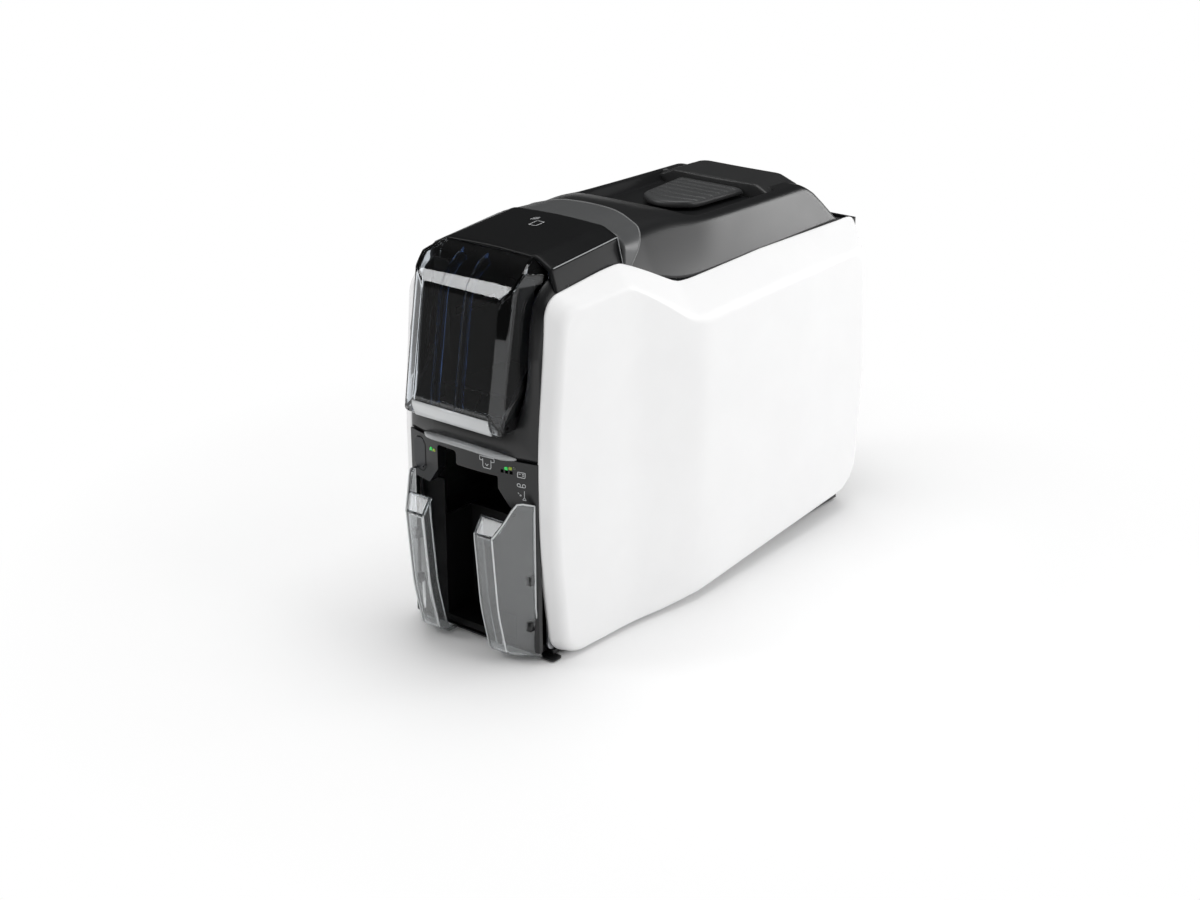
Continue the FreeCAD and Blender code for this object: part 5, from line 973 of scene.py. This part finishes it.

# %% [markdown]
# Pictograms are printed in pale ink, and a groove runs around the power button. A decal image could show
# them, but its edges blur up close. Each mark is a thin ribbon that follows a path on the surface, so it
# stays sharp. The groove is not cut: a dark ribbon lies in its place, and its darkness is painted shade.

# %% Printed marks and painted groove shade
MARK_LIFT, BUTTON_LIFT, BUTTON_X = 0.12, 0.75, -42.3
HOOD_CROWN, HOOD_RISE, HOOD_FALL = (-143.2, 263.3), 0.0655, 0.039
INK_THIN, INK_FINE, INK_BROAD, GROOVE_SHADE_WIDTH = 0.4, 0.42, 0.5, 0.75
ink = plastic("mark_ink", (0.55, 0.56, 0.57), 0.6)


def arc(a, b, radius, start, stop, steps=14):
    """Part of a circle around (a, b), between two angles in degrees."""
    angle = np.radians(np.linspace(start, stop, steps))
    return np.stack([a + radius * np.cos(angle), b + radius * np.sin(angle)], axis=1)


def box_path(a, b, wide, tall):
    """Rectangle around (a, b) with half sizes wide and tall."""
    return np.array([a, b]) + np.array([(-1, -1), (1, -1), (1, 1), (-1, 1), (-1, -1)]) * (wide, tall)


def marks(name, paths, place, width, material, rides="printer"):
    """Ribbons of one width along 2D paths. place turns (a, b) into points just above the surface."""
    points, faces = [], []
    for path in paths:
        path = resampled(np.asarray(path, dtype=float), max(len(path) * 3, 12))
        along = np.gradient(path, axis=0)
        along /= np.linalg.norm(along, axis=1, keepdims=True)
        out = np.stack([-along[:, 1], along[:, 0]], axis=1) * width / 2
        start, n = len(points), len(path)
        points += place(np.concatenate([path + out, path - out])).tolist()
        faces += [(start + i, start + n + i, start + n + i + 1, start + i + 1) for i in range(n - 1)]
    obj = new_object(name, (np.array(points) * MM).tolist(), faces, material)
    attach(obj, rides)
    slot_name(material)
    print(name, len(faces), "faces")


def on_face(spot):
    """A hair in front of the bowed fascia."""
    return np.stack([spot[:, 0], fascia_y(spot[:, 0]) - MARK_LIFT, spot[:, 1]], axis=1)


def on_button(spot):
    """Just in front of the flat power button."""
    front = float(fascia_y(BUTTON_X)) - BUTTON_LIFT
    return np.stack([spot[:, 0], np.full(len(spot), front), spot[:, 1]], axis=1)


def on_hood(spot):
    """Just above the hood's crown, which rises evenly to the rear and falls evenly to both sides."""
    z = HOOD_CROWN[1] + (spot[:, 1] - HOOD_CROWN[0]) * HOOD_RISE - np.abs(spot[:, 0]) * HOOD_FALL
    return np.stack([spot[:, 0], spot[:, 1], z + MARK_LIFT], axis=1)


hood_marks = [box_path(0.0, -99.0, 2.8, 4.2)] + [arc(-4.5, -93.0, r, 100, 200) for r in (1.5, 2.9, 4.3)]
card_mark = [box_path(41.7, 129.0, 2.6, 1.7), [(39.9, 129.6), (41.2, 129.6)], [(42.2, 129.6), (43.6, 129.6)],
             [(42.2, 128.6), (43.6, 128.6)]]
ribbon_mark = [arc(39.9, 122.0, 1.1, 0, 360), arc(43.4, 122.0, 1.1, 0, 360), [(39.9, 120.9), (43.4, 120.9)]]
clean_mark = [[(39.2, 117.0), (40.0, 116.2)], arc(41.0, 115.4, 0.4, 0, 360), [(43.6, 118.6), (43.6, 114.0)],
              [(42.4, 112.6), (43.6, 114.4), (44.8, 112.6), (42.4, 112.6)]]
slot_mark = [[(11.6, 133.4), (11.6, 136.0), (22.6, 136.0), (22.6, 133.4), (20.2, 133.4)],
             [(14.0, 133.4), (11.6, 133.4)], [(14.0, 134.6), (14.0, 128.6), (20.2, 128.6), (20.2, 134.6)],
             [(15.9, 131.6), (17.0, 130.2), (18.2, 131.6)]]
power_mark = [arc(-42.8, 122.1, 1.5, 120, 420), [(-42.8, 122.3), (-42.8, 124.3)]]
button_groove_shade = [(-47.3, 114.0), (-45.0, 111.4), (-39.4, 111.4), (-36.9, 114.0), (-36.9, 130.0),
                  (-39.4, 132.8), (-45.0, 132.8), (-47.3, 130.0), (-47.3, 114.0)]
marks("hood_mark", hood_marks, on_hood, INK_BROAD, ink)
marks("face_marks", card_mark + ribbon_mark + clean_mark + slot_mark, on_face, INK_FINE, ink)
marks("power_mark", power_mark, on_button, INK_THIN, ink, "button")
# The groove round the button is not cut: this dark ribbon of liner plastic is painted shade in its place.
marks("button_groove_shade", [button_groove_shade], on_face, GROOVE_SHADE_WIDTH, liner)

# %% [markdown]
# Five small lenses sit in the fascia beside the pictograms: two lit green, two amber and one dark. A point
# lamp behind each would cost render time and light nothing else, so the lens material glows by itself.

# %% Status lights
LIGHT_WIDE, LIGHT_TALL, LIGHT_ROUND = 1.2, 1.1, 0.4
LIGHT_RINGS, LIGHT_TIP = ((4.0, 1.0), (0.2, 1.0), (-0.6, 0.7)), -0.7


def glow(name, colour, strength):
    """Lens with light behind it: noise makes the glow a little uneven."""
    material = plastic(name, tuple(c * 0.3 for c in colour), 0.25, coat=0.4)
    tree = material.node_tree
    place = make_node(tree, "ShaderNodeTexCoord", outlet=3)
    noise = make_node(tree, "ShaderNodeTexNoise", Vector=place, Scale=900.0)
    low = tuple(c * 0.5 for c in colour)
    light = make_node(tree, "ShaderNodeValToRGB", {"stops": [(0.35, low), (0.65, colour)]}, Fac=noise)
    return tune(material, Emission_Color=light, Emission_Strength=strength)


def light_grid(x, z, front):
    """Three rings: two of full size behind the fascia and a smaller one in front. Gives the two ends too."""
    corners = [(x + a * LIGHT_WIDE, z + b * LIGHT_TALL, LIGHT_ROUND)
               for a, b in ((-1, -1), (1, -1), (1, 1), (-1, 1))]
    loop = rounded_loop(corners, 4, 2)
    rings = []
    for back, share in LIGHT_RINGS:
        spot = (x, z) + (loop - (x, z)) * share
        rings.append(np.stack([spot[:, 0], np.full(len(spot), front + back), spot[:, 1]], axis=1))
    return np.stack(rings), (x, front + LIGHT_TIP, z), (x, front + LIGHT_RINGS[0][0], z)


lit_green, lit_amber = glow("lit_green", (0.02, 0.55, 0.08), 1.0), glow("lit_amber", (0.30, 0.40, 0.02), 0.6)
unlit = plastic("unlit_lens", (0.05, 0.06, 0.05), 0.2)
LIGHTS = [("light_power", -31.0, 129.0, lit_green, "status_lights"),
          ("light_feed", -28.0, 129.0, lit_amber, None), ("light_ready", 31.0, 131.4, lit_green, None),
          ("light_ribbon", 34.0, 132.0, lit_amber, None), ("light_clean", 36.8, 132.5, unlit, None)]
for name, x, z, material, node in LIGHTS:
    rings, tip, back = light_grid(x, z, float(fascia_y(x)))
    shell(name, rings, material, node, closed=True, pole=tip, cap=back)

# %% [markdown]
# A pale floor that fades into the background keeps attention on the printer. One lamp would leave the glossy
# black parts without form. Five soft lamps give each of them a reflection where the photograph has one, an
# even sky fills the rest, and two dark cards keep the pale floor out of the front and side faces.

# %% Floor and light
FLOOR_HALF, FADE_RATE, FADE_START = 6.0, 4.5, 1.0
SKY_STRENGTH, GLOSS_STRENGTH, CARD_GLOW = 0.52, 0.05, 0.13
LAMPS = [("side", (1.06, 1.78, 0.34), (0, 0, 0.15), (0.62, 0.6), 9.5),
         ("side_front", (1.62, 1.10, 0.52), (0, 0, 0.2), (0.4, 0.5), 3.0),
         ("near_side", (1.9, 0.3, 1.0), (0, 0, 0.12), (0.9, 0.9), 7.0),
         ("strip", (-1.28, -1.30, 1.30), (0, -0.17, 0.246), (0.5, 0.84), 8.0),
         ("top", (0.0, 0.1, 1.6), (0, 0, 0.2), (1.2, 1.0), 11.0)]
CARDS = [((-0.42, -0.75, 0.0), (0.0, -0.17, 0.14), (0.9, 0.75)),
         ((0.62, 0.10, 0.004), (0.62, 0.10, 1.0), (0.5, 0.45))]


def sheet_of(name, wide, tall, material):
    """Flat rectangle around the origin with half sizes in metres."""
    places = [(-wide, -tall, 0), (wide, -tall, 0), (wide, tall, 0), (-wide, tall, 0)]
    return new_object(name, places, [(0, 1, 2, 3)], material)


def paint_floor():
    """Pale floor. From 0.22 m to 0.44 m around the middle it fades evenly to plain white."""
    material, tree, shader, place = new_material("floor")
    tune(material, Base_Color=(0.93, 0.93, 0.93), Roughness=0.9, Specular_IOR_Level=0.1)
    distance = make_node(tree, "ShaderNodeVectorMath", {"operation": "LENGTH"}, outlet=1, Vector=place)
    far = make_node(tree, "ShaderNodeEmission", Color=(1.0, 1.0, 1.0), Strength=1.0)
    mix = tree.nodes.new("ShaderNodeMixShader")
    plug(tree, mix.inputs[0], (distance * FADE_RATE - FADE_START).clamp())
    tree.links.new(shader.outputs[0], mix.inputs[1])
    tree.links.new(far.socket, mix.inputs[2])
    tree.links.new(mix.outputs[0], tree.nodes["Material Output"].inputs[0])
    return material


def soft_lamp(name, place, target, size, power):
    """Rectangular area lamp at a place in metres, turned to a target."""
    data = bpy.data.lights.new(name, "AREA")
    data.shape = "RECTANGLE"
    data.size, data.size_y = size
    data.energy = power
    lamp = bpy.data.objects.new(name, data)
    bpy.context.collection.objects.link(lamp)
    lamp.location = place
    lamp.visible_camera = False
    lamp.rotation_euler = (Vector(target) - Vector(place)).to_track_quat("-Z", "Y").to_euler()


def studio_world(strength):
    """White to the lens, also through clear plastic, nearly dark to gloss, softer white for its light."""
    world = bpy.data.worlds.new("studio")
    world.use_nodes = True
    tree = world.node_tree
    path = tree.nodes.new("ShaderNodeLightPath")
    through = Wire(tree, path.outputs["Is Transmission Ray"])
    bounced = Wire(tree, path.outputs["Diffuse Depth"]) + Wire(tree, path.outputs["Glossy Depth"])
    seen = Wire(tree, path.outputs["Is Camera Ray"]).maths("MAXIMUM", through * (1.0 - bounced).clamp())
    gloss = Wire(tree, path.outputs["Is Glossy Ray"])
    sky = tree.nodes["Background"]
    plug(tree, sky.inputs["Strength"], (gloss * (GLOSS_STRENGTH - strength) + strength) * (1.0 - seen) + seen)
    plug(tree, sky.inputs["Color"], (1.0, 1.0, 1.0))
    bpy.context.scene.world = world


def dark_flag(place, target, size):
    """Dark card that gloss and clear plastic see, but neither the lens nor plain surfaces."""
    card = tune(plastic("card", (0.02, 0.02, 0.02), 0.8), Emission_Color=(1.0, 1.0, 1.0),
                Emission_Strength=CARD_GLOW)
    flag = sheet_of("flag", size[0] / 2, size[1] / 2, card)
    flag.location = place
    flag.rotation_euler = (Vector(target) - Vector(place)).to_track_quat("Z", "Y").to_euler()
    flag.visible_camera = flag.visible_diffuse = flag.visible_shadow = False


floor = sheet_of("studio_floor", FLOOR_HALF, FLOOR_HALF, paint_floor())
studio_world(SKY_STRENGTH)
for card in CARDS:
    dark_flag(*card)
for lamp in LAMPS:
    soft_lamp(*lamp)
bpy.context.scene.view_settings.view_transform = "Standard"
print("studio ready")
